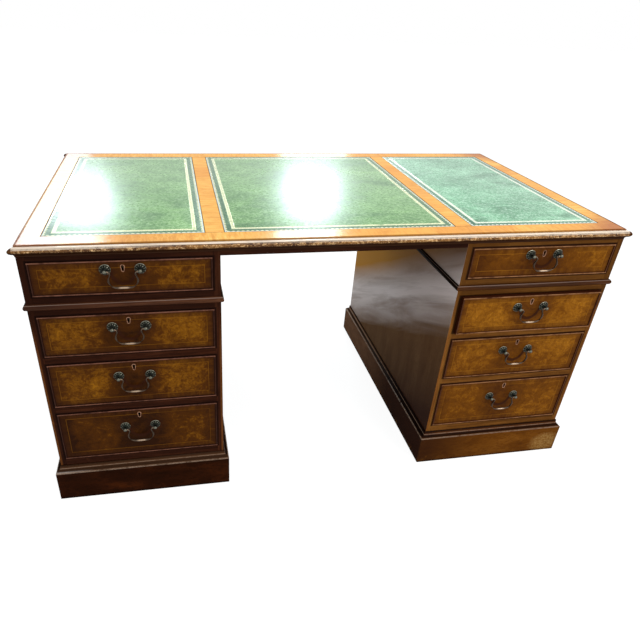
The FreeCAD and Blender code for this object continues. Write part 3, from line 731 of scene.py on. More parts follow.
@dataclass(frozen=True)
class MouldingWood:
    """Dark waist moulding whose outer edge has a pale crest, part wear and part painted highlight, near black
    along its two sides.
    """
    name: str
    timber: Timber
    middle: float
    half_width: float
    half_depth: float
    low: float = 625.5 * MM
    high: float = 627.5 * MM
    # Colour of the crest, part wear and part painted highlight.
    rubbed: Colour = tint(168, 144, 130)
    near_black: Colour = tint(12, 8, 6)
    rub_and_highlight: float = 0.85
    bare_from: float = 0.24
    gloss: float = 0.28
    film: float = 0.1

    def material(self) -> bpy.types.Material:
        """Build the finish.

        Returns:
            The material.
        """
        graph = Graph(self.name)
        x, y, z = graph.axes()
        colour, fine = self.timber.colour(graph, Axis.X, self.middle)
        over_x, over_y = abs(x - self.middle) - self.half_width, abs(y) - self.half_depth
        colour = graph.blend((over_x - over_y).rise(-HAIRLINE, HAIRLINE) * 0.9, colour, self.near_black)
        blotch = graph.noise(graph.spread((1, 1, 1.6)), 30, 6, 0.72, 1.2)
        crumbs = graph.noise(graph.place, 210, 4, 0.7)
        # Painted highlight, mixed with wear: the crest of the outer edge is paler.
        highlit_crest = z.rise(self.low, self.high) * over_x.most(over_y).rise(-3.2 * MM, -2.2 * MM)
        wear = (blotch + crumbs * 0.5).rise(self.bare_from, self.bare_from + 0.3) * highlit_crest * self.rub_and_highlight
        colour = graph.blend(wear, colour, self.rubbed)
        return Polish(self.gloss, self.film).close(graph, colour, fine, wear * 0.4, highlit_crest * 0.5)


@dataclass(frozen=True)
class PlinthWood:
    """Plinth board with level grain, scuffed along its foot, with one patch worn to bare wood, painted shade
    in its cove and along its foot, and painted highlights on its ledge.
    """
    name: str
    timber: Timber
    ledge_wood: Colour
    patch: Optional[Point] = None
    shaded: Optional[tuple[float, float]] = None
    bare: Colour = tint(146, 112, 62)
    lit_back: Colour = tint(196, 142, 102)
    corner_highlight: Colour = tint(204, 194, 186)
    edge_highlight: Colour = tint(138, 114, 94)
    cove_shade: float = 0.55
    highlight_to: float = 0.0
    ledge: float = 96 * MM
    face: tuple[float, float] = (430 * MM, 434 * MM)
    lip: tuple[float, float] = (422.5 * MM, 423.5 * MM)
    inner_side: tuple[float, float] = (340 * MM, 360 * MM)

    def material(self) -> bpy.types.Material:
        """Build the finish.

        Returns:
            The material.
        """
        graph = Graph(self.name)
        x, y, z = graph.axes()
        level, fine = self.timber.colour(graph, Axis.X, 2.0)
        deep, _ = self.timber.colour(graph, Axis.Y, 4.0)
        front = abs(y).rise(*self.face)
        # Painted shade and light on the right plinth's inner side: darker towards the front, paler at the
        # back.
        if self.shaded:
            inner = x.fall(*self.inner_side)
            deep = graph.blend(inner * y.fall(-0.2, 0.15) * 0.9, deep, PLUM.dark)
            mottle = graph.noise(graph.spread((1, 1, 2)), 16, 4, 0.6, 0.6).rise(0.3, 0.6)
            deep = graph.blend(inner * y.rise(-0.12, 0.15) * (mottle * 0.4 + 0.6), deep, self.lit_back)
        colour = graph.blend(front, deep, level)
        moulded = z.rise(self.ledge - 1 * MM, self.ledge + 1 * MM)
        # Painted shade: dark lines in the cove above the ledge and over the moulding's top.
        cove_shade = z.line(self.ledge + 5.5 * MM, 1.6 * MM, 1.6 * MM)
        cove_shade = cove_shade.most(z.rise(self.ledge + 13 * MM, self.ledge + 17 * MM))
        moulding = graph.blend(abs(y).rise(*self.lip), PLUM.dark, self.ledge_wood)
        colour = graph.blend(moulded * 0.7, colour, moulding)
        # Painted shade: the face darkens towards the left end.
        if self.shaded:
            start, end = self.shaded
            colour = graph.blend(x.fall(start, end) * (1 - moulded) * 0.8, colour, PLUM.middle)
        colour = graph.blend(cove_shade * self.cove_shade, colour, SHADE_BLACK)
        # Painted highlight: the moulded left corner is paler.
        if self.highlight_to:
            corner = x.fall(self.highlight_to - 80 * MM, self.highlight_to) * moulded * front
            colour = graph.blend(corner * (1 - cove_shade * 0.8) * 0.55, colour, self.corner_highlight)
        scuff = graph.noise(graph.place, 34, 6, 0.72, 0.8)
        foot = (scuff + z.fall(0.0, 30 * MM) * 0.2).rise(0.62, 0.8)
        colour = graph.blend(foot * 0.4, colour, self.timber.light)
        # Painted shade: a dark line along the foot.
        colour = graph.blend(z.fall(2 * MM, 9 * MM) * 0.7, colour, SHADE_BLACK)
        # Painted highlight: pale lines along the ledge and the step above it.
        edge = z.line(self.ledge, 0.8 * MM, 0.8 * MM)
        edge = edge.most(z.line(self.ledge + 10 * MM, 0.6 * MM, 0.6 * MM) * 0.9) * scuff.rise(0.3, 0.5)
        colour = graph.blend(edge * 0.75, colour, self.edge_highlight)
        wear = foot * 0.4
        if self.patch:
            patch_x, patch_z, size = self.patch
            reach = ((x - patch_x) * (x - patch_x) + (z - patch_z) * (z - patch_z) * 1.6).root()
            worn = (reach * (1 / size) + scuff * 0.9).fall(1.0, 1.4) * front * y.fall(-0.1, 0.0)
            crumbs = graph.noise(graph.place, 160, 5, 0.75, 0.5)
            colour = graph.blend(worn * crumbs.rise(0.36, 0.6) * 0.85, colour, self.bare)
            wear = wear + worn * 0.6
        return Polish(0.34, 0.025).close(graph, colour, fine, wear, edge * 0.3)


@dataclass(frozen=True)
class CrossBanding:
    """Short lengths of wood laid across the border of the top and between the leathers."""
    name: str
    field_x: float
    field_y: float
    strip_low: float
    strip_high: float
    length: float = 118 * MM
    rim_x: float = 772 * MM
    rim_y: float = 412.2 * MM
    amber: Colour = tint(200, 112, 22)
    russet: Colour = tint(140, 66, 42)
    scratch: Colour = tint(120, 62, 28)
    rim_wood: Colour = tint(70, 36, 20)
    seam_dirt: Colour = tint(70, 48, 34)

    def material(self) -> bpy.types.Material:
        """Build the finish.

        Returns:
            The material.
        """
        graph = Graph(self.name)
        x, y, _ = graph.axes()
        ends = ((abs(x) - self.field_x) - (abs(y) - self.field_y)).rise(-HAIRLINE, HAIRLINE)
        strip = abs(x).fall(self.strip_high, self.strip_high + HAIRLINE)
        strip = strip * abs(y).fall(self.field_y, self.field_y + HAIRLINE)
        sideways = ends.most(strip)
        across_x, fine_x = ORANGE.colour(graph, Axis.X, 3.1)
        across_y, fine_y = ORANGE.colour(graph, Axis.Y, 1.7)
        colour = graph.blend(sideways, across_y, across_x)
        run = x * (1 - sideways) + y * sideways
        leaf = graph.output("ShaderNodeTexWhiteNoise", {"noise_dimensions": "1D"}, {
            "W": graph.sum("FLOOR", run * (1 / self.length), 0.0) + sideways * 17.3,
        })
        colour = graph.blend(leaf * 0.3, colour, self.amber)
        red = graph.noise(graph.place, 3.2, 3, 0.5, 0.5).rise(0.52, 0.7)
        corner = (abs(x) + abs(y) * 0.9).rise(1.0, 1.1) * 0.65
        colour = graph.blend((red * 0.2).most(corner), colour, self.russet)
        edge = graph.noise(graph.place, 40, 4, 0.7)
        colour = graph.blend(edge.rise(0.62, 0.8) * 0.3, colour, self.scratch)
        rim = (abs(x) - self.rim_x).most(abs(y) - self.rim_y).rise(0, 2 * MM)
        colour = graph.blend(rim * 0.6, colour, self.rim_wood)
        off = 0.6 * MM
        within_x = abs(x).fall(self.field_x, self.field_x + 2 * off)
        within_y = abs(y).fall(self.field_y, self.field_y + 2 * off)
        seam = abs(x).line(self.field_x + off, off, off).most(abs(x).line(self.strip_high - off, off, off))
        seam = seam.most(abs(x).line(self.strip_low + off, off, off)) * within_y
        seam = seam.most(abs(y).line(self.field_y + off, off, off) * within_x)
        colour = graph.blend(seam * 0.8, colour, self.seam_dirt)
        grain = fine_x * sideways + fine_y * (1 - sideways)
        return Polish(0.22, 0.0).close(graph, colour, grain, 0.0, (1 - seam) * (1 - rim * 0.8) * 0.45)


@dataclass(frozen=True)
class Hide:
    """Green writing leather, gilt round its edge with a scalloped row and a hatched band, and with a painted
    reflection as a pale line at its very edge.
    """
    name: str
    x: float
    half_width: float
    half_depth: float
    scallop: float = 12 * MM
    band: float = 24 * MM
    band_half: float = 3.6 * MM
    hatch: float = 4.2 * MM
    deep: Colour = tint(60, 108, 56)
    pale: Colour = tint(118, 164, 100)
    bloom: Colour = tint(186, 220, 168)
    gold: Colour = tint(248, 244, 200)
    border: Colour = tint(40, 80, 66)
    edge_reflection: Colour = tint(206, 214, 212)

    def material(self) -> bpy.types.Material:
        """Build the finish.

        Returns:
            The material.
        """
        graph = Graph(self.name)
        x, y, _ = graph.axes()
        across = self.half_width - abs(x - self.x)
        along = self.half_depth - abs(y)
        depth = across.least(along)
        sideways = (across - along).fall(-0.2 * MM, 0.2 * MM)
        run = (x - self.x) * (1 - sideways) + y * sideways
        grain = graph.cells(graph.place, 520)
        creases = graph.noise(graph.place, 260, 4, 0.65, 0.4)
        cloud = graph.noise(graph.spread((1, 1.6, 1), (self.x, 0, 0)), 8, 5, 0.62, 0.7)
        speck = graph.noise(graph.spread((1, 1.4, 1)), 130, 4, 0.8)
        green = graph.blend(cloud.rise(0.32, 0.68), self.deep, self.pale)
        green = graph.blend(speck.rise(0.5, 0.7) * 0.7, green, self.bloom)
        green = graph.blend(speck.fall(0.32, 0.48) * 0.6, green, self.deep)
        green = graph.blend(depth.fall(17 * MM, 21 * MM) * 0.65, green, self.border)
        arc = abs((run * (math.pi / self.scallop)).wave()) * (6 * MM)
        scallops = (arc + 2 * MM - depth).rise(-HAIRLINE, HAIRLINE) * depth.rise(3 * MM, 3.6 * MM)
        # Painted reflection: a pale line along the leather's edge.
        painted_highlight = depth.line(2.2 * MM, 0.9 * MM, HAIRLINE)
        rails = abs(depth - self.band).line(self.band_half, 0.6 * MM, HAIRLINE)
        strokes = ((run + depth) * (2 * math.pi / self.hatch)).wave().rise(-0.7, 0.0)
        hatch = abs(depth - self.band).fall(self.band_half - 0.6 * MM, self.band_half) * strokes
        rubbed = graph.noise(graph.place, 42, 4, 0.65).rise(0.2, 0.42)
        gilt = (scallops * 0.8).most(rails * 0.9).most(hatch) * rubbed
        colour = graph.blend(gilt, green, self.gold)
        colour = graph.blend(painted_highlight * 0.75, colour, self.edge_reflection)
        roughness = 0.24 - cloud * 0.1 + speck * 0.2 - gilt * 0.06
        height = grain * 0.5 + creases * 0.8 - gilt * 0.9
        return graph.surface(
            Base_Color=colour, Roughness=roughness, Metallic=gilt * 0.2, Specular_IOR_Level=0.5,
            Normal=graph.relief(height, 0.25 * MM, 0.8),
        )


@dataclass(frozen=True)
class AgedBrass:
    """Brass gone brown and green, rubbed bright where hands and cloths reach, and lighter where a painted
    highlight is noted on its corners.
    """
    name: str
    metal: Colour = tint(86, 72, 50)
    # Colour of wear and painted highlight.
    rubbed: Colour = tint(190, 168, 130)
    tarnish: Colour = tint(26, 25, 18)
    verdigris: Colour = tint(44, 62, 50)

    def material(self) -> bpy.types.Material:
        """Build the finish.

        Returns:
            The material.
        """
        graph = Graph(self.name)
        mass = graph.noise(graph.place, 150, 5, 0.65, 0.6)
        pits = graph.noise(graph.place, 700, 3, 0.6)
        green = graph.noise(graph.spread((1, 1, 1), (4, 2, 1)), 90, 4, 0.6, 0.5)
        touched = graph.output("ShaderNodeAttribute", {"attribute_name": WEAR_AND_HIGHLIGHT}, {}, "Fac")
        film = mass.rise(0.36, 0.6)
        colour = graph.blend(film, self.metal, self.tarnish)
        colour = graph.blend(green.rise(0.5, 0.68) * 0.7, colour, self.verdigris)
        colour = graph.blend(pits.rise(0.64, 0.78) * 0.3, colour, self.rubbed)
        # Painted highlight, mixed with wear, where the corners note it.
        worn = (touched * (mass * 0.9 + 0.5)).least(1.0)
        colour = graph.blend(worn, colour, self.rubbed)
        dull = (film * 0.4 + green.rise(0.5, 0.68) * 0.4) * (1 - worn)
        return graph.surface(
            Base_Color=colour, Metallic=1 - dull, Roughness=0.24 + film * 0.18 + pits * 0.1,
            Specular_IOR_Level=0.2, Normal=graph.relief(mass + pits * 0.4, 0.12 * MM, 0.5),
        )


@dataclass(frozen=True)
class PlainTimber:
    """Unpolished wood inside the carcases and drawers."""
    name: str
    along: Axis
    timber: Timber = OAK

    def material(self) -> bpy.types.Material:
        """Build the finish.

        Returns:
            The material.
        """
        graph = Graph(self.name)
        colour, fine = self.timber.colour(graph, self.along)
        return Polish(0.62, 0.0, 0.1 * MM).close(graph, colour, fine, 0.3)


class Recipe(Protocol):
    """What each finish has: a name, and a way to build it."""
    name: str

    def material(self) -> bpy.types.Material:
        """Build the finish."""


class Finishes:
    """Every finish of the desk, each made when it is first asked for."""

    def __init__(self) -> None:
        """Start with no finish made."""
        self.made: dict[str, bpy.types.Material] = {}

    def of(self, recipe: Recipe) -> bpy.types.Material:
        """Make a finish, or take it again where it is made already.

        Args:
            recipe: The finish.

        Returns:
            Its material.
        """
        if recipe.name not in self.made:
            self.made[recipe.name] = recipe.material()
        return self.made[recipe.name]


# ---------------------------------------------------------------- work on pieces


def take(piece: bpy.types.Object) -> None:
    """Leave a piece as the only one selected, and active.

    Args:
        piece: The piece.
    """
    bpy.ops.object.select_all(action="DESELECT")
    piece.select_set(True)
    bpy.context.view_layer.objects.active = piece


def edit(piece: bpy.types.Object, mode: str = "VERT") -> None:
    """Open a piece for editing with everything in it selected.

    Args:
        piece: The piece.
        mode: What is picked in it: "VERT", "EDGE" or "FACE".
    """
    take(piece)
    bpy.ops.object.mode_set(mode="EDIT")
    bpy.ops.mesh.select_mode(type=mode)
    bpy.ops.mesh.select_all(action="SELECT")


def close_edit() -> None:
    """Leave the edit mode."""
    bpy.ops.object.mode_set(mode="OBJECT")


def select_only(mesh: bpy.types.Mesh, kind: str, chosen: Sequence[bool]) -> None:
    """Select some of a mesh, and nothing else of it.

    Args:
        mesh: The mesh.
        kind: What is selected: "edges" or "polygons".
        chosen: For each of them, whether it is.
    """
    for name in ("vertices", "edges", "polygons"):
        members = getattr(mesh, name)
        members.foreach_set("select", chosen if name == kind else [False] * len(members))


def keep_edges(piece: bpy.types.Object, test: Callable[[Vector, Vector], bool]) -> None:
    """Narrow the selected edges to those whose two ends pass a test.

    Args:
        piece: A piece that is being edited.
        test: The test of the two ends.
    """
    close_edit()
    mesh = piece.data
    kept = [
        edge.select and test(mesh.vertices[edge.vertices[0]].co, mesh.vertices[edge.vertices[1]].co)
        for edge in mesh.edges
    ]
    select_only(mesh, "edges", kept)
    bpy.ops.object.mode_set(mode="EDIT")


def soften(piece: bpy.types.Object, width: float, segments: int = 2) -> None:
    """Round the sharp edges of a piece with a bevel that is applied.

    Args:
        piece: The piece.
        width: Width of the bevel.
        segments: How many steps it has.
    """
    take(piece)
    bevel = piece.modifiers.new("softened edges", "BEVEL")
    bevel.width = width
    bevel.segments = segments
    bevel.limit_method = "ANGLE"
    bevel.angle_limit = math.radians(40)
    bpy.ops.object.modifier_apply(modifier=bevel.name)


def smooth(piece: bpy.types.Object, angle: float = 35) -> None:
    """Shade a piece smooth across angles under the given one, in degrees."""
    take(piece)
    bpy.ops.object.shade_smooth_by_angle(angle=math.radians(angle))


def dressed_copy(node: str, name: str, merge_angle: float = 0.4) -> bpy.types.Object:
    """Copy a frame node's mesh as a new piece, merged into clean faces.

    Args:
        node: Name of the frame's node.
        name: Name of the new piece.
        merge_angle: Faces that lean less than this, in degrees, become one; 0 leaves them as they are.

    Returns:
        The piece, which isn't on a body yet.
    """
    mesh = frame["nodes"][node].data.copy()
    mesh.name = name
    piece = bpy.data.objects.new(name, mesh)
    bpy.context.scene.collection.objects.link(piece)
    edit(piece)
    bpy.ops.mesh.remove_doubles(threshold=0.002 * MM)
    if merge_angle > 0:
        bpy.ops.mesh.dissolve_limited(angle_limit=math.radians(merge_angle))
    close_edit()
    mesh.materials.clear()
    return piece


def drop_faces(piece: bpy.types.Object, test: Callable[[list[Vector]], bool]) -> None:
    """Delete the faces of a piece whose corners pass a test.

    Args:
        piece: The piece.
        test: The test of a face's corners.
    """
    mesh = piece.data
    chosen = [test([mesh.vertices[corner].co for corner in face.vertices]) for face in mesh.polygons]
    select_only(mesh, "polygons", chosen)
    take(piece)
    bpy.ops.object.mode_set(mode="EDIT")
    bpy.ops.mesh.select_mode(type="FACE")
    bpy.ops.mesh.delete(type="FACE")
    bpy.ops.mesh.select_mode(type="VERT")
    bpy.ops.mesh.select_all(action="SELECT")
    bpy.ops.mesh.delete_loose()
    close_edit()


def join_mitres(piece: bpy.types.Object) -> None:
    """Close the glued mitres of a moulding, so that its corners can be worn round.

    Args:
        piece: The moulding.
    """
    edit(piece, "FACE")
    bpy.ops.mesh.select_all(action="DESELECT")
    bpy.ops.mesh.select_interior_faces()
    bpy.ops.mesh.delete(type="FACE")
    close_edit()


def round_corners(piece: bpy.types.Object, width: float) -> None:
    """Wear the four outer mitred corners of a moulding round.

    Args:
        piece: The moulding, its mitres closed.
        width: Width of the rounding.
    """
    def on_mitre(first: Vector, second: Vector) -> bool:
        """True for an edge that runs out at 45 degrees, at the front or the back of the desk."""
        lean = abs(abs(first.x - second.x) - abs(first.y - second.y))
        return lean < TOUCHING and min(abs(first.y), abs(second.y)) > NEAR_FRONT

    edit(piece, "EDGE")
    keep_edges(piece, on_mitre)
    bpy.ops.mesh.bevel(offset=width, segments=3, clamp_overlap=True)
    close_edit()


def worn_moulding(node: str, name: str, width: float) -> bpy.types.Object:
    """Copy a mitred moulding of the frame and wear its corners round.

    Args:
        node: Name of the frame's node.
        name: Name of the new piece.
        width: Width of the rounding.

    Returns:
        The piece.
    """
    piece = dressed_copy(node, name)
    join_mitres(piece)
    round_corners(piece, width)
    smooth(piece, 40)
    return piece


def split_finish(
    piece: bpy.types.Object, first: bpy.types.Material, second: bpy.types.Material,
    test: Callable[[Vector], bool],
) -> None:
    """Finish a piece in two ways.

    Args:
        piece: The piece, without any finish.
        first: Material of most faces.
        second: Material of the faces whose middle passes the test.
        test: The test.
    """
    piece.data.materials.append(first)
    piece.data.materials.append(second)
    for face in piece.data.polygons:
        face.material_index = int(test(face.center))


def fit(
    piece: bpy.types.Object, body: str, finish: bpy.types.Material, nodes: Sequence[str] = (),
) -> None:
    """Put a finished piece on its body.

    Args:
        piece: The piece.
        body: Body that it rides on.
        finish: Its material, where it has none yet.
        nodes: Frame nodes that it stands for.
    """
    if not piece.data.materials:
        piece.data.materials.append(finish)
    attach(piece, body)
    if nodes:
        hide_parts(*nodes)
    LOG.info("%s rides on %s", piece.name, body)


def paint(node: str, finish: bpy.types.Material) -> None:
    """Give a frame node a finish and leave its shape as it is.

    Args:
        node: Name of the frame's node.
        finish: Its material.
    """
    materials = frame["nodes"][node].data.materials
    materials.clear()
    materials.append(finish)
    LOG.info("%s is painted", node)


@dataclass(frozen=True)
class Ring:
    """One section of a turned or drawn piece: its middle, radius and heading in the XZ plane."""
    middle: Vector
    radius: float
    heading: float = 0.0


def draw_out(name: str, rings: Sequence[Ring], sides: int, facing: Euler) -> bpy.types.Object:
    """Make a turned or drawn piece by extruding a disc from ring to ring.

    Args:
        name: Name of the piece.
        rings: The sections in order.
        sides: Corners of a section.
        facing: Turn of the first disc.

    Returns:
        The piece, closed at both ends.
    """
    bpy.ops.object.select_all(action="DESELECT")
    bpy.ops.mesh.primitive_circle_add(
        vertices=sides, radius=rings[0].radius, fill_type="NGON", location=rings[0].middle, rotation=facing,
    )
    piece = bpy.context.object
    piece.name = piece.data.name = name
    bpy.ops.object.transform_apply(location=True, rotation=True, scale=True)
    edit(piece, "FACE")
    for last, ring in zip(rings, rings[1:]):
        bpy.ops.mesh.extrude_region_move(TRANSFORM_OT_translate={"value": ring.middle - last.middle})
        share = ring.radius / last.radius
        bpy.ops.transform.resize(value=(share, share, share), center_override=ring.middle)
        turn = ring.heading - last.heading
        if abs(turn) > 1e-6:
            bpy.ops.transform.rotate(value=turn, orient_axis="Y", center_override=ring.middle)
    bpy.ops.mesh.select_all(action="SELECT")
    bpy.ops.mesh.normals_make_consistent(inside=False)
    close_edit()
    return piece


def mark_wear_and_highlight(piece: bpy.types.Object, share: Callable[[Vector], float]) -> None:
    """Note on each corner of a casting how much it is rubbed bright or carries a painted highlight."""
    marks = piece.data.attributes.new(WEAR_AND_HIGHLIGHT, "FLOAT", "POINT")
    marks.data.foreach_set("value", [share(vertex.co) for vertex in piece.data.vertices])


def placed_copy(pattern: bpy.types.Object, name: str, place: Matrix) -> bpy.types.Object:
    """Copy a pattern piece, with a mesh of its own, to a place.

    Args:
        pattern: The pattern piece.
        name: Name of the copy.
        place: Where it goes, and how it is turned.

    Returns:
        The copy, which isn't on a body yet.
    """
    piece = pattern.copy()
    piece.data = pattern.data.copy()
    piece.name = piece.data.name = name
    piece.data.transform(place)
    bpy.context.scene.collection.objects.link(piece)
    return piece


@dataclass(frozen=True)
class CockBead:
    """Half-round bead let into the edges of a front, standing a little proud of it."""
    width: float = 4.5 * MM
    round_over: float = 2.2 * MM
    segments: int = 4

    def build(self, name: str, panel: "Panel", front: float, depth: float) -> bpy.types.Object:
        """Model a bead.

        Args:
            name: Name of the piece.
            panel: Rectangle that it runs round.
            front: Y of its proud face.
            depth: How deep it is, positive towards +Y.

        Returns:
            The piece.
        """
        bpy.ops.object.select_all(action="DESELECT")
        bpy.ops.mesh.primitive_plane_add(
            size=2, location=(panel.x, front, panel.z), rotation=(math.pi / 2, 0, 0),
        )
        piece = bpy.context.object
        piece.name = piece.data.name = name
        piece.scale = (panel.half_width, panel.half_height, 1)
        bpy.ops.object.transform_apply(location=True, rotation=True, scale=True)
        edit(piece, "FACE")
        bpy.ops.mesh.inset(thickness=self.width, use_even_offset=True)
        bpy.ops.mesh.delete(type="FACE")
        bpy.ops.mesh.select_all(action="SELECT")
        bpy.ops.mesh.extrude_region_move(TRANSFORM_OT_translate={"value": (0, depth, 0)})
        bpy.ops.mesh.select_all(action="SELECT")
        bpy.ops.mesh.normals_make_consistent(inside=False)
        near = 0.1 * TOUCHING
        keep_edges(piece, lambda a, b: (
            abs(a.y - front) + abs(b.y - front) < near and min(abs(a.x - b.x), abs(a.z - b.z)) < near
        ))
        bpy.ops.mesh.bevel(offset=self.round_over, segments=self.segments, clamp_overlap=True)
        close_edit()
        smooth(piece, 60)
        return piece


# ---------------------------------------------------------------- handles


@dataclass(frozen=True)
class HandlePattern:
    """Cast and turned parts of one swan-neck handle, modelled once about its pivot.

    The pattern's pivot is the origin; the drawer front lies behind it along +Y.
    """
    post: float = 40.3 * MM
    reach: float = 16 * MM
    neck_half: float = 29 * MM
    neck_corner: float = 4.5 * MM
    flare_half: float = 31.14 * MM
    flare_drop: float = 12.5 * MM
    grip_half: float = 14.7 * MM
    drop: float = 41 * MM
    pin_depth: float = 3 * MM
    rod: float = 2.4 * MM
    grip: float = 2.9 * MM
    sides: int = 14
    turning_sides: int = 40
    petals: int = 10
    rose: tuple[tuple[float, float], ...] = (
        (0.0, 12.9), (0.5, 13.3), (1.1, 13.2), (1.5, 12.6), (1.6, 11.6), (1.7, 10.6), (2.2, 10.3), (2.9, 10.0),
        (3.3, 9.4), (3.9, 8.6), (4.9, 7.4), (5.8, 5.9), (6.5, 4.4), (7.2, 3.5), (8.6, 3.1), (10.6, 3.1),
        (11.4, 3.5), (12.0, 4.1), (13.6, 5.0), (15.2, 5.5), (16.6, 5.5), (18.2, 4.9), (19.4, 3.8), (20.2, 2.5),
        (20.55, 1.1),
    )

    def turned_rose(self) -> bpy.types.Object:
        """Model the rose, its neck and the ball that holds the bail, about the ball's pivot.

        Returns:
            The pattern piece.
        """
        rings = [Ring(Vector((0, self.reach - out * MM, 0)), radius * MM) for out, radius in self.rose]
        piece = draw_out("rose_pattern", rings, self.turning_sides, Euler((math.pi / 2, 0, 0)))
        smooth(piece, 38)

        def share(corner: Vector) -> float:
            """Painted highlight on the ball's upper half and the rim's upper part, and wear of the petals and
            of the ring inside them.

            Args:
                corner: A place on the rose.

            Returns:
                Wear and painted highlight from 0 to 1.
            """
            reach, out = math.hypot(corner.x, corner.z) / MM, (self.reach - corner.y) / MM
            petal = math.sin(math.atan2(corner.z, corner.x) * self.petals) > 0.1
            if out > 14:
                # Painted highlight on the ball's upper half.
                return 0.26 if out > 18.5 and corner.z > -1 * MM else 0.05
            if reach > 12.4:
                # Painted highlight on the rim's upper part; wear on the petals.
                return 0.45 if petal or corner.z > 8 * MM else 0.08
            return 0.3 if 8.5 < reach < 10.5 and petal else 0.0

        mark_wear_and_highlight(piece, share)
        return piece

    def half_line(self) -> list[tuple[float, float]]:
        """Draw the bail's middle line from its pin at +X to the middle of its grip.

        Returns:
            Its points, as (x, z).
        """
        points = [(self.post + self.pin_depth, 0.0), (self.post, 0.0)]
        points += arc((self.neck_half + self.neck_corner, 0.0), (self.neck_half, -self.neck_corner), True, 5)
        points += arc((self.neck_half, -self.neck_corner), (self.flare_half, -self.flare_drop), False, 5)[1:]
        points += arc((self.grip_half, -self.drop), (self.flare_half, -self.flare_drop), True, 11)[::-1][1:]
        points.append((self.grip_half * 0.45, -self.drop))
        points.append((0.0, -self.drop))
        return points

    def bail(self) -> bpy.types.Object:
        """Model the bail that the hand pulls.

        Returns:
            The pattern piece.
        """
        half = self.half_line()
        line = half + [(-x, z) for x, z in half[-2::-1]]
        rings = []
        for index, (x, z) in enumerate(line):
            before = line[max(index - 1, 0)]
            after = line[min(index + 1, len(line) - 1)]
            heading = math.atan2(after[1] - before[1], after[0] - before[0])
            swell = max(0.0, 1 - abs(x) / self.grip_half) if z < -self.drop * 0.95 else 0.0
            neck = 1.0 if z < -self.flare_drop else 0.92
            rings.append(Ring(Vector((x, 0, z)), self.rod * neck + (self.grip - self.rod) * swell, heading))
        turned = []
        last = rings[0].heading
        for ring in rings:
            step = (ring.heading - last + math.pi) % (2 * math.pi) - math.pi
            last = last + step
            turned.append(Ring(ring.middle, ring.radius, -last))
        start = Euler((0, -math.pi / 2, 0))
        piece = draw_out("bail_pattern", turned, self.sides, start)
        smooth(piece, 60)

        def share(corner: Vector) -> float:
            """Painted highlight, mixed with wear, on the grip's front and a little on the arms' fronts, and
            wear of the pins.

            Args:
                corner: A place on the bail.

            Returns:
                Wear and painted highlight from 0 to 1.
            """
            if corner.z < -self.drop * 0.85:
                # Painted highlight, mixed with wear, on the grip's front.
                return 0.62 if corner.y < -0.6 * self.rod and abs(corner.x) < 0.8 * self.grip_half else 0.1
            if corner.z > -3 * MM:
                return 0.3
            # Painted highlight on the arms' fronts.
            return 0.07 if corner.y < -0.6 * self.rod else 0.0

        mark_wear_and_highlight(piece, share)
        return piece


def arc(
    start: tuple[float, float], end: tuple[float, float], level: bool, count: int,
) -> list[tuple[float, float]]:
    """Points of a bend whose centre lies plumb or level with its start.

    Args:
        start: First point.
        end: Last point.
        level: True if the centre lies straight over or under the start, False if beside it.
        count: How many points.

    Returns:
        The points, both ends among them.
    """
    dx, dz = end[0] - start[0], end[1] - start[1]
    if level:
        radius = (dx * dx + dz * dz) / (2 * dz)
        centre = (start[0], start[1] + radius)
    else:
        radius = (dx * dx + dz * dz) / (2 * dx)
        centre = (start[0] + radius, start[1])
    first = math.atan2(start[1] - centre[1], start[0] - centre[0])
    turn = math.atan2(end[1] - centre[1], end[0] - centre[0]) - first
    turn = (turn + math.pi) % (2 * math.pi) - math.pi
    return [
        (centre[0] + abs(radius) * math.cos(first + turn * step / (count - 1)),
         centre[1] + abs(radius) * math.sin(first + turn * step / (count - 1)))
        for step in range(count)
    ]


# ---------------------------------------------------------------- the desk


@dataclass(frozen=True)
class Row:
    """One height of drawers: its opening's floor, height and width."""
    name: str
    floor: float
    height: float
    opening: float
    bolt_rise: float = 20 * MM
    gap: float = 0.8 * MM

    def panel(self, middle: float, margin: float = 0.0) -> Panel:
        """The front's rectangle about a pedestal's middle."""
        half_width = self.opening / 2 - self.gap - margin
        return Panel(middle, self.floor + self.height / 2, half_width, self.height / 2 - self.gap)

    @property
    def pivot(self) -> float:
        """Height of the handle's pivot."""
        return self.floor + self.height / 2 + self.bolt_rise


PEDESTAL_OPENING = 425.3 * MM
FRIEZE_OPENING = 421.7 * MM
ROWS = (
    Row("frieze", 647.3 * MM, 88.6 * MM, FRIEZE_OPENING),
    Row("upper", 478.5 * MM, 116.8 * MM, PEDESTAL_OPENING),
    Row("middle", 320.7 * MM, 135.5 * MM, PEDESTAL_OPENING),
    Row("lower", 139.2 * MM, 159.2 * MM, PEDESTAL_OPENING),
)


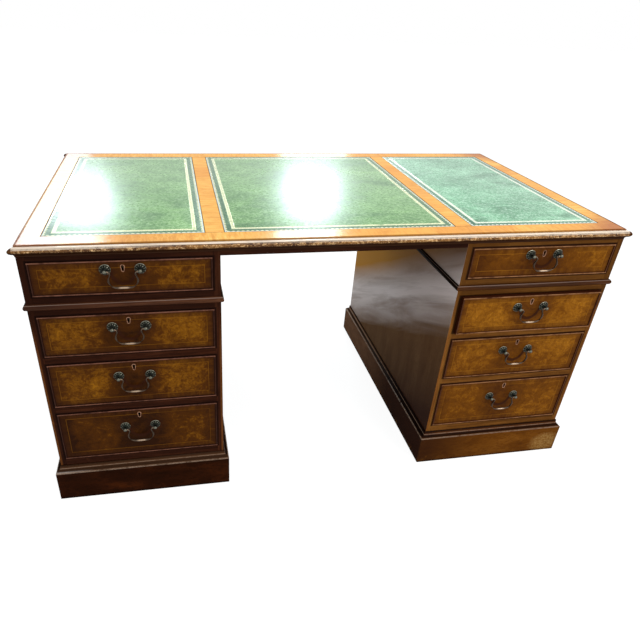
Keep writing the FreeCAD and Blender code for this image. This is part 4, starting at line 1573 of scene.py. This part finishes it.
@dataclass
class DeskTop:
    """Board, crossbanding, edge moulding and leathers."""
    finishes: Finishes
    field_x: float = 728.4 * MM
    field_y: float = 366.1 * MM
    strip_low: float = 303.5 * MM
    strip_high: float = 351.5 * MM

    def build(self) -> None:
        """Dress the top's pieces."""
        banding = dressed_copy("top_crossbanding", "crossbanded_border")
        soften(banding, 0.4 * MM)
        finish = CrossBanding("crossbanding", self.field_x, self.field_y, self.strip_low, self.strip_high)
        fit(banding, "desk", self.finishes.of(finish), ["top_crossbanding"])

        edge = worn_moulding("top_edge_moulding", "moulded_edge", 5 * MM)
        fit(edge, "desk", self.finishes.of(NosingWood("nosing_polish")), ["top_edge_moulding"])

        half = (self.field_x - self.strip_high) / 2
        for label, middle, half_width in (
            ("left", -self.strip_high - half, half),
            ("centre", 0.0, self.strip_low),
            ("right", self.strip_high + half, half),
        ):
            leather = dressed_copy(f"{label}_leather", f"{label}_writing_leather")
            soften(leather, 1.0 * MM, 3)
            smooth(leather, 50)
            hide = Hide(f"{label}_hide", middle, half_width, self.field_y)
            if label == "right":
                hide = replace(
                    hide, deep=tint(66, 118, 86), pale=tint(132, 189, 150), bloom=tint(216, 246, 226),
                    gold=tint(252, 252, 232),
                )
            fit(leather, "desk", self.finishes.of(hide), [f"{label}_leather"])
        wood = CarcaseWood(
            "under_top", MAHOGANY, DARK_SIDE, middle=0.0, half_opening=1.0, openings=(), half_width=2.0,
        )
        under = self.finishes.of(wood)
        for node in ("top_board", "top_bearers"):
            paint(node, under)
        paint("locating_dowels", self.finishes.of(PlainTimber("dowel_wood", Axis.Z)))


@dataclass
class Pedestal:
    """One pedestal with the frieze carcase over it, its drawers and its cupboard door."""
    finishes: Finishes
    side: Side
    middle: float = 548.0 * MM
    front_thickness: float = 22 * MM
    bead_proud: float = 3.2 * MM
    dummy_margin: float = 6.2 * MM
    handle_half: float = HandlePattern.post
    key_half: float = 7 * MM
    half_plinth: float = 237 * MM

    def build(self) -> None:
        """Dress the whole side."""
        self.dress_carcases()
        self.dress_drawers()
        self.dress_door()

    @property
    def centre(self) -> float:
        """Middle of the pedestal along X."""
        return self.side.value * self.middle

    def dress_carcases(self) -> None:
        """Dress the fixed woodwork."""
        label = self.side.label
        tones = TONES[self.side]
        for node, rows in (("pedestal_carcase", ROWS[1:]), ("frieze_carcase", ROWS[:1])):
            piece = dressed_copy(f"{label}_{node}", f"{label}_{node}_wood")
            soften(piece, 0.5 * MM)
            openings = tuple(row.panel(self.centre, -row.gap - self.shadow_of(row.name)) for row in rows)
            wood = CarcaseWood(
                f"{label}_{node}_polish", tones.stiles, tones.flanks, self.centre, rows[0].opening / 2,
                openings, painted_reflection=self.side is Side.RIGHT,
            )
            fit(piece, "desk", self.finishes.of(wood), [f"{label}_{node}"])
        waist = worn_moulding(f"{label}_waist_moulding", f"{label}_waist_wood", 1.5 * MM)
        low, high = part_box(f"{label}_waist_moulding")
        wood = MouldingWood(f"{label}_waist_polish", tones.edges, self.centre, (high.x - low.x) / 2, high.y)
        fit(waist, "desk", self.finishes.of(wood), [f"{label}_waist_moulding"])
        plinth = worn_moulding(f"{label}_plinth", f"{label}_plinth_wood", 6 * MM)
        left_end = self.centre - self.half_plinth
        wood = PlinthWood(
            f"{label}_plinth_polish", tones.plinth, tint(86, 58, 38), highlight_to=left_end + 100 * MM,
        )
        if self.side is Side.RIGHT:
            wood = replace(
                wood, ledge_wood=tint(70, 38, 22), cove_shade=0.85, highlight_to=0.0,
                patch=(self.centre + 200 * MM, 35 * MM, 60 * MM),
                shaded=(left_end + 20 * MM, left_end + 200 * MM),
            )
        fit(plinth, "desk", self.finishes.of(wood), [f"{label}_plinth"])
        paint(f"{label}_drawer_runners", self.finishes.of(PlainTimber("runner_wood", Axis.Y)))
        paint(f"{label}_door_hinges", self.finishes.of(AgedBrass("brass")))

    def shadow_of(self, row: str) -> float:
        """How much further the painted shadow spreads round the drawer that stands a little open."""
        return 2.6 * MM if self.side is Side.RIGHT and row == "upper" else 0.0

    def dress_drawers(self) -> None:
        """Dress the five drawers of the side."""
        label = self.side.label
        tones = TONES[self.side]
        rows = [(row.name, row, -1) for row in ROWS] + [("rear", ROWS[0], 1)]
        for number, (name, row, facing) in enumerate(rows):
            node = f"{label}_{name}_drawer"
            panel = row.panel(self.centre)
            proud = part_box(node)[0].y if facing < 0 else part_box(node)[1].y
            face = proud - facing * self.bead_proud
            back = face - facing * self.front_thickness
            piece = self.board_without_beads(node, (panel,), proud, back)
            veneer = self.veneer(node, (panel,), (row,), 3.7 * number + self.side.value, tones.glows[name])
            veneer = replace(veneer, lean=tones.leans.get(name, 0.0))
            linings = self.finishes.of(PlainTimber("drawer_linings", Axis.Y))
            split_finish(
                piece, self.finishes.of(veneer), linings, lambda middle: (middle.y - back) * facing < TOUCHING,
            )
            fit(piece, node, linings, [node])
            bead = CockBead().build(f"{node}_bead", panel, proud, back - proud)
            wood = BeadWood(f"{node}_bead_polish", abs(proud), (panel,), tones.bead, tones.rubbed)
            fit(bead, node, self.finishes.of(wood), [node])
            self.dress_fittings(f"{label}_{name}_fittings", node, face, facing)

    def board_without_beads(
        self, node: str, panels: Sequence[Panel], proud: float, back: float,
    ) -> bpy.types.Object:
        """Copy a drawer or door, leaving off the square beads of the frame's model.

        Args:
            node: The frame's node.
            panels: Rectangles that the beads run round.
            proud: Y of the beads' front.
            back: Y of their backs.

        Returns:
            The piece.
        """
        piece = dressed_copy(node, f"{node}_wood", merge_angle=0.0)
        low, high = sorted((proud, back))

        def of_bead(corner: Vector) -> bool:
            """Tell a bead's front and outer edge.

            Args:
                corner: A corner of the frame's model.

            Returns:
                True if it lies there.
            """
            if not low - TOUCHING < corner.y < high + TOUCHING:
                return False
            off = min(panel.off_edge(corner.x, corner.z) for panel in panels)
            return abs(corner.y - proud) < TOUCHING or off < 2 * TOUCHING

        drop_faces(piece, lambda corners: any(of_bead(corner) for corner in corners))
        return piece

    def posts(self, rows: Sequence[Row]) -> tuple[tuple[float, float], ...]:
        """Places of the handles' posts on the fronts of some rows, as (x, z)."""
        return tuple((self.centre + sign * self.handle_half, row.pivot) for sign in (-1, 1) for row in rows)

    def veneer(
        self, node: str, panels: tuple[Panel, ...], rows: Sequence[Row], seed: float, glow: float,
    ) -> FrontVeneer:
        """The veneer of one front in its side's colours.

        Args:
            node: The frame's node.
            panels: Rectangles of veneer.
            rows: Rows whose handles are on them.
            seed: Moves the figure.
            glow: How light the figure is.

        Returns:
            The finish.
        """
        tones = TONES[self.side]
        return FrontVeneer(
            f"{node}_veneer", panels, tones.shadow, tones.body, tones.flash, glow, seed, self.posts(rows),
            tones.grime_and_shadow_strength,
        )

    def dress_fittings(self, node: str, body: str, face: float, facing: int) -> None:
        """Keep bolts, nuts and locks from the frame, and leave off its roses, which turned brass roses
        replace.

        Args:
            node: The frame's node of fittings.
            body: Body that they ride on.
            face: Y of the front that they are on.
            facing: -1 at the front of the desk, 1 at the back.
        """
        piece = dressed_copy(node, f"{node}_metal")
        brass = self.finishes.of(AgedBrass("brass"))

        def out(corner: Vector) -> float:
            """How far a corner stands out of the front."""
            return (corner.y - face) * facing

        def by_key(corner: Vector) -> bool:
            """True beside the keyhole."""
            return abs(corner.x - self.centre) < self.key_half

        def of_rose(corners: list[Vector]) -> bool:
            """Tell the faces of a rose and its post.

            Args:
                corners: Corners of a face.

            Returns:
                True if it is one of them.
            """
            stands = [out(corner) for corner in corners]
            before = min(stands) > -TOUCHING or max(stands) > 5 * TOUCHING
            return before and min(stands) > -2 * MM and not all(by_key(corner) for corner in corners)

        drop_faces(piece, of_rose)
        bright = self.finishes.of(AgedBrass("escutcheon_brass", *BRIGHT_BRASS))
        split_finish(piece, brass, bright, lambda middle: by_key(middle) and out(middle) > -2 * MM)
        fit(piece, body, brass, [node])

    def dress_door(self) -> None:
        """Dress the cupboard door with its three dummy fronts."""
        label = self.side.label
        tones = TONES[self.side]
        node = f"{label}_door"
        panels = tuple(row.panel(self.centre, self.dummy_margin) for row in ROWS[1:])
        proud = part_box(node)[1].y
        face = proud - self.bead_proud
        piece = self.board_without_beads(node, panels, proud, face)
        veneer = self.veneer(node, panels, ROWS[1:], 9.1 * self.side.value, tones.glows["middle"])
        inside = self.finishes.of(PlainTimber(f"{label}_door_back", Axis.Z, tones.stiles))
        split_finish(piece, self.finishes.of(veneer), inside, lambda middle: middle.y < face - self.bead_proud)
        fit(piece, node, inside, [node])
        for row, panel in zip(ROWS[1:], panels):
            bead = CockBead().build(f"{node}_{row.name}_bead", panel, proud, face - proud)
            wood = BeadWood(f"{node}_bead_polish", proud, panels, tones.bead, tones.rubbed)
            fit(bead, node, self.finishes.of(wood), [node])
        self.dress_fittings(f"{label}_door_fittings", node, face, 1)


@dataclass
class Handles:
    """The sixteen bails, each on its own pivot."""
    finishes: Finishes
    pattern: HandlePattern = HandlePattern()

    def build(self) -> None:
        """Model bail and rose once and set copies at each pivot."""
        bail_brass = self.finishes.of(AgedBrass("bail_brass", *BAIL_BRASS))
        rose_brass = self.finishes.of(AgedBrass("rose_brass", *ROSE_BRASS))
        bail, rose = self.pattern.bail(), self.pattern.turned_rose()
        for joint in frame["joints"]:
            if not joint["name"].endswith("_bail_swing"):
                continue
            node, body = joint["child"], joint["parent"]
            place = Matrix.Translation(Vector(joint["pos_m"]))
            if joint["axis"][0] > 0:
                place = place @ Matrix.Rotation(math.pi, 4, "Z")
            fit(placed_copy(bail, f"{node}_casting", place), node, bail_brass, [node])
            for label, sign in (("first", -1), ("second", 1)):
                spot = place @ Matrix.Translation(Vector((sign * self.pattern.post, 0, 0)))
                piece = placed_copy(rose, f"{node}_{label}_rose", spot)
                fit(piece, body, rose_brass, [f"{body.removesuffix('_drawer')}_fittings"])
        bpy.data.objects.remove(bail)
        bpy.data.objects.remove(rose)


# ---------------------------------------------------------------- studio


SKY = (0.78, 0.93, 1.0)
WHITE = (1.0, 1.0, 1.0, 1.0)
LEFT_OF_TOP = (-0.6, 0.2, 0.77)
RIGHT_OF_TOP = (0.2, 0.2, 0.77)
HEART = (0.0, 0.0, 0.4)


@dataclass(frozen=True)
class Lamp:
    """A soft box: where it stands, what it faces, its size and its power."""
    name: str
    place: Point
    target: Point
    width: float
    height: float
    power: float
    colour: tuple[float, float, float] = WHITE[:3]

    def build(self) -> None:
        """Hang the lamp."""
        light = bpy.data.lights.new(self.name, "AREA")
        light.shape = "RECTANGLE"
        light.size = self.width
        light.size_y = self.height
        light.energy = self.power
        light.color = self.colour
        lamp = bpy.data.objects.new(self.name, light)
        lamp.location = self.place
        lamp.rotation_euler = (Vector(self.target) - Vector(self.place)).to_track_quat("-Z", "Y").to_euler()
        lamp.visible_camera = False
        bpy.context.scene.collection.objects.link(lamp)


@dataclass(frozen=True)
class Studio:
    """Floor, surroundings, lamps and camera."""
    focal_pixels: float = 559.07
    middle_pixel: tuple[float, float] = (282.84, 336.57)
    frame_pixels: float = 640.0
    sensor: float = 36.0
    eye: Point = (-0.42009, -1.66470, 1.27242)
    right: Point = (0.98257, -0.18070, 0.04352)
    up: Point = (0.05752, 0.51827, 0.85328)
    sight: float = 60.0
    room_light: float = 0.55
    room_white: float = 1.0
    floor_size: float = 40.0
    floor_grey: Colour = (0.9, 0.9, 0.9, 1.0)
    floor_glow: float = 1.14
    floor_share: float = 0.8
    lamps: tuple[Lamp, ...] = (
        Lamp("left_window_low", (-1.4, 3.2, 1.62), LEFT_OF_TOP, 0.66, 0.65, 10, SKY),
        Lamp("left_window_high", (-1.43, 3.2, 2.42), LEFT_OF_TOP, 0.74, 0.92, 36, SKY),
        Lamp("right_window_low", (0.8, 3.2, 1.62), RIGHT_OF_TOP, 0.58, 0.65, 11, SKY),
        Lamp("right_window_high", (0.8, 3.2, 2.42), RIGHT_OF_TOP, 0.56, 0.92, 38, SKY),
        Lamp("front_softbox", (1.9, -3.1, 2.2), HEART, 1.5, 1.3, 60),
        Lamp("overhead", (0.3, -0.4, 3.4), HEART, 2.6, 2.6, 50),
    )

    def build(self) -> None:
        """Set the whole studio up."""
        self.surroundings()
        self.floor()
        self.camera()
        for lamp in self.lamps:
            lamp.build()
        bpy.context.scene.view_settings.view_transform = "Standard"

    def camera(self) -> None:
        """Stand the camera."""
        right, up = Vector(self.right), Vector(self.up)
        data = bpy.data.cameras.new("camera")
        data.sensor_width = self.sensor
        data.lens = self.focal_pixels * self.sensor / self.frame_pixels
        data.shift_x = 0.5 - self.middle_pixel[0] / self.frame_pixels
        data.shift_y = self.middle_pixel[1] / self.frame_pixels - 0.5
        data.clip_end = self.sight
        camera = bpy.data.objects.new("camera", data)
        turn = Matrix((right, up, right.cross(up))).transposed().to_4x4()
        camera.matrix_world = Matrix.Translation(Vector(self.eye)) @ turn
        bpy.context.scene.collection.objects.link(camera)
        bpy.context.scene.camera = camera

    def surroundings(self) -> None:
        """Light the room softly, and show it white behind the desk."""
        graph = Graph("studio", world=True)
        light, white = (
            graph.output("ShaderNodeBackground", {}, {"Color": WHITE, "Strength": strength})
            for strength in (self.room_light, self.room_white)
        )
        mix = graph.output("ShaderNodeMixShader", {}, {0: graph.seen(), 1: light, 2: white})
        graph.node("ShaderNodeOutputWorld", {}, {"Surface": mix})
        bpy.context.scene.world = graph.owner

    def floor(self) -> None:
        """Lay a pale floor that keeps the desk's shadow."""
        bpy.ops.object.select_all(action="DESELECT")
        bpy.ops.mesh.primitive_plane_add(size=self.floor_size)
        floor = bpy.context.object
        floor.name = "floor"
        graph = Graph("floor_paper")
        paper = graph.output("ShaderNodeBsdfDiffuse", {}, {"Color": self.floor_grey})
        glow = graph.output("ShaderNodeEmission", {}, {"Color": WHITE, "Strength": self.floor_glow})
        mix = graph.output("ShaderNodeMixShader", {}, {0: graph.seen() * self.floor_share, 1: paper, 2: glow})
        graph.node("ShaderNodeOutputMaterial", {}, {"Surface": mix})
        floor.data.materials.append(graph.owner)


def main() -> None:
    """Dress the desk and set up the studio."""
    logging.basicConfig(level=logging.INFO, format="%(name)s: %(message)s")
    finishes = Finishes()
    DeskTop(finishes).build()
    for side in Side:
        Pedestal(finishes, side).build()
    Handles(finishes).build()
    Studio().build()


if __name__ == "__main__":
    main()
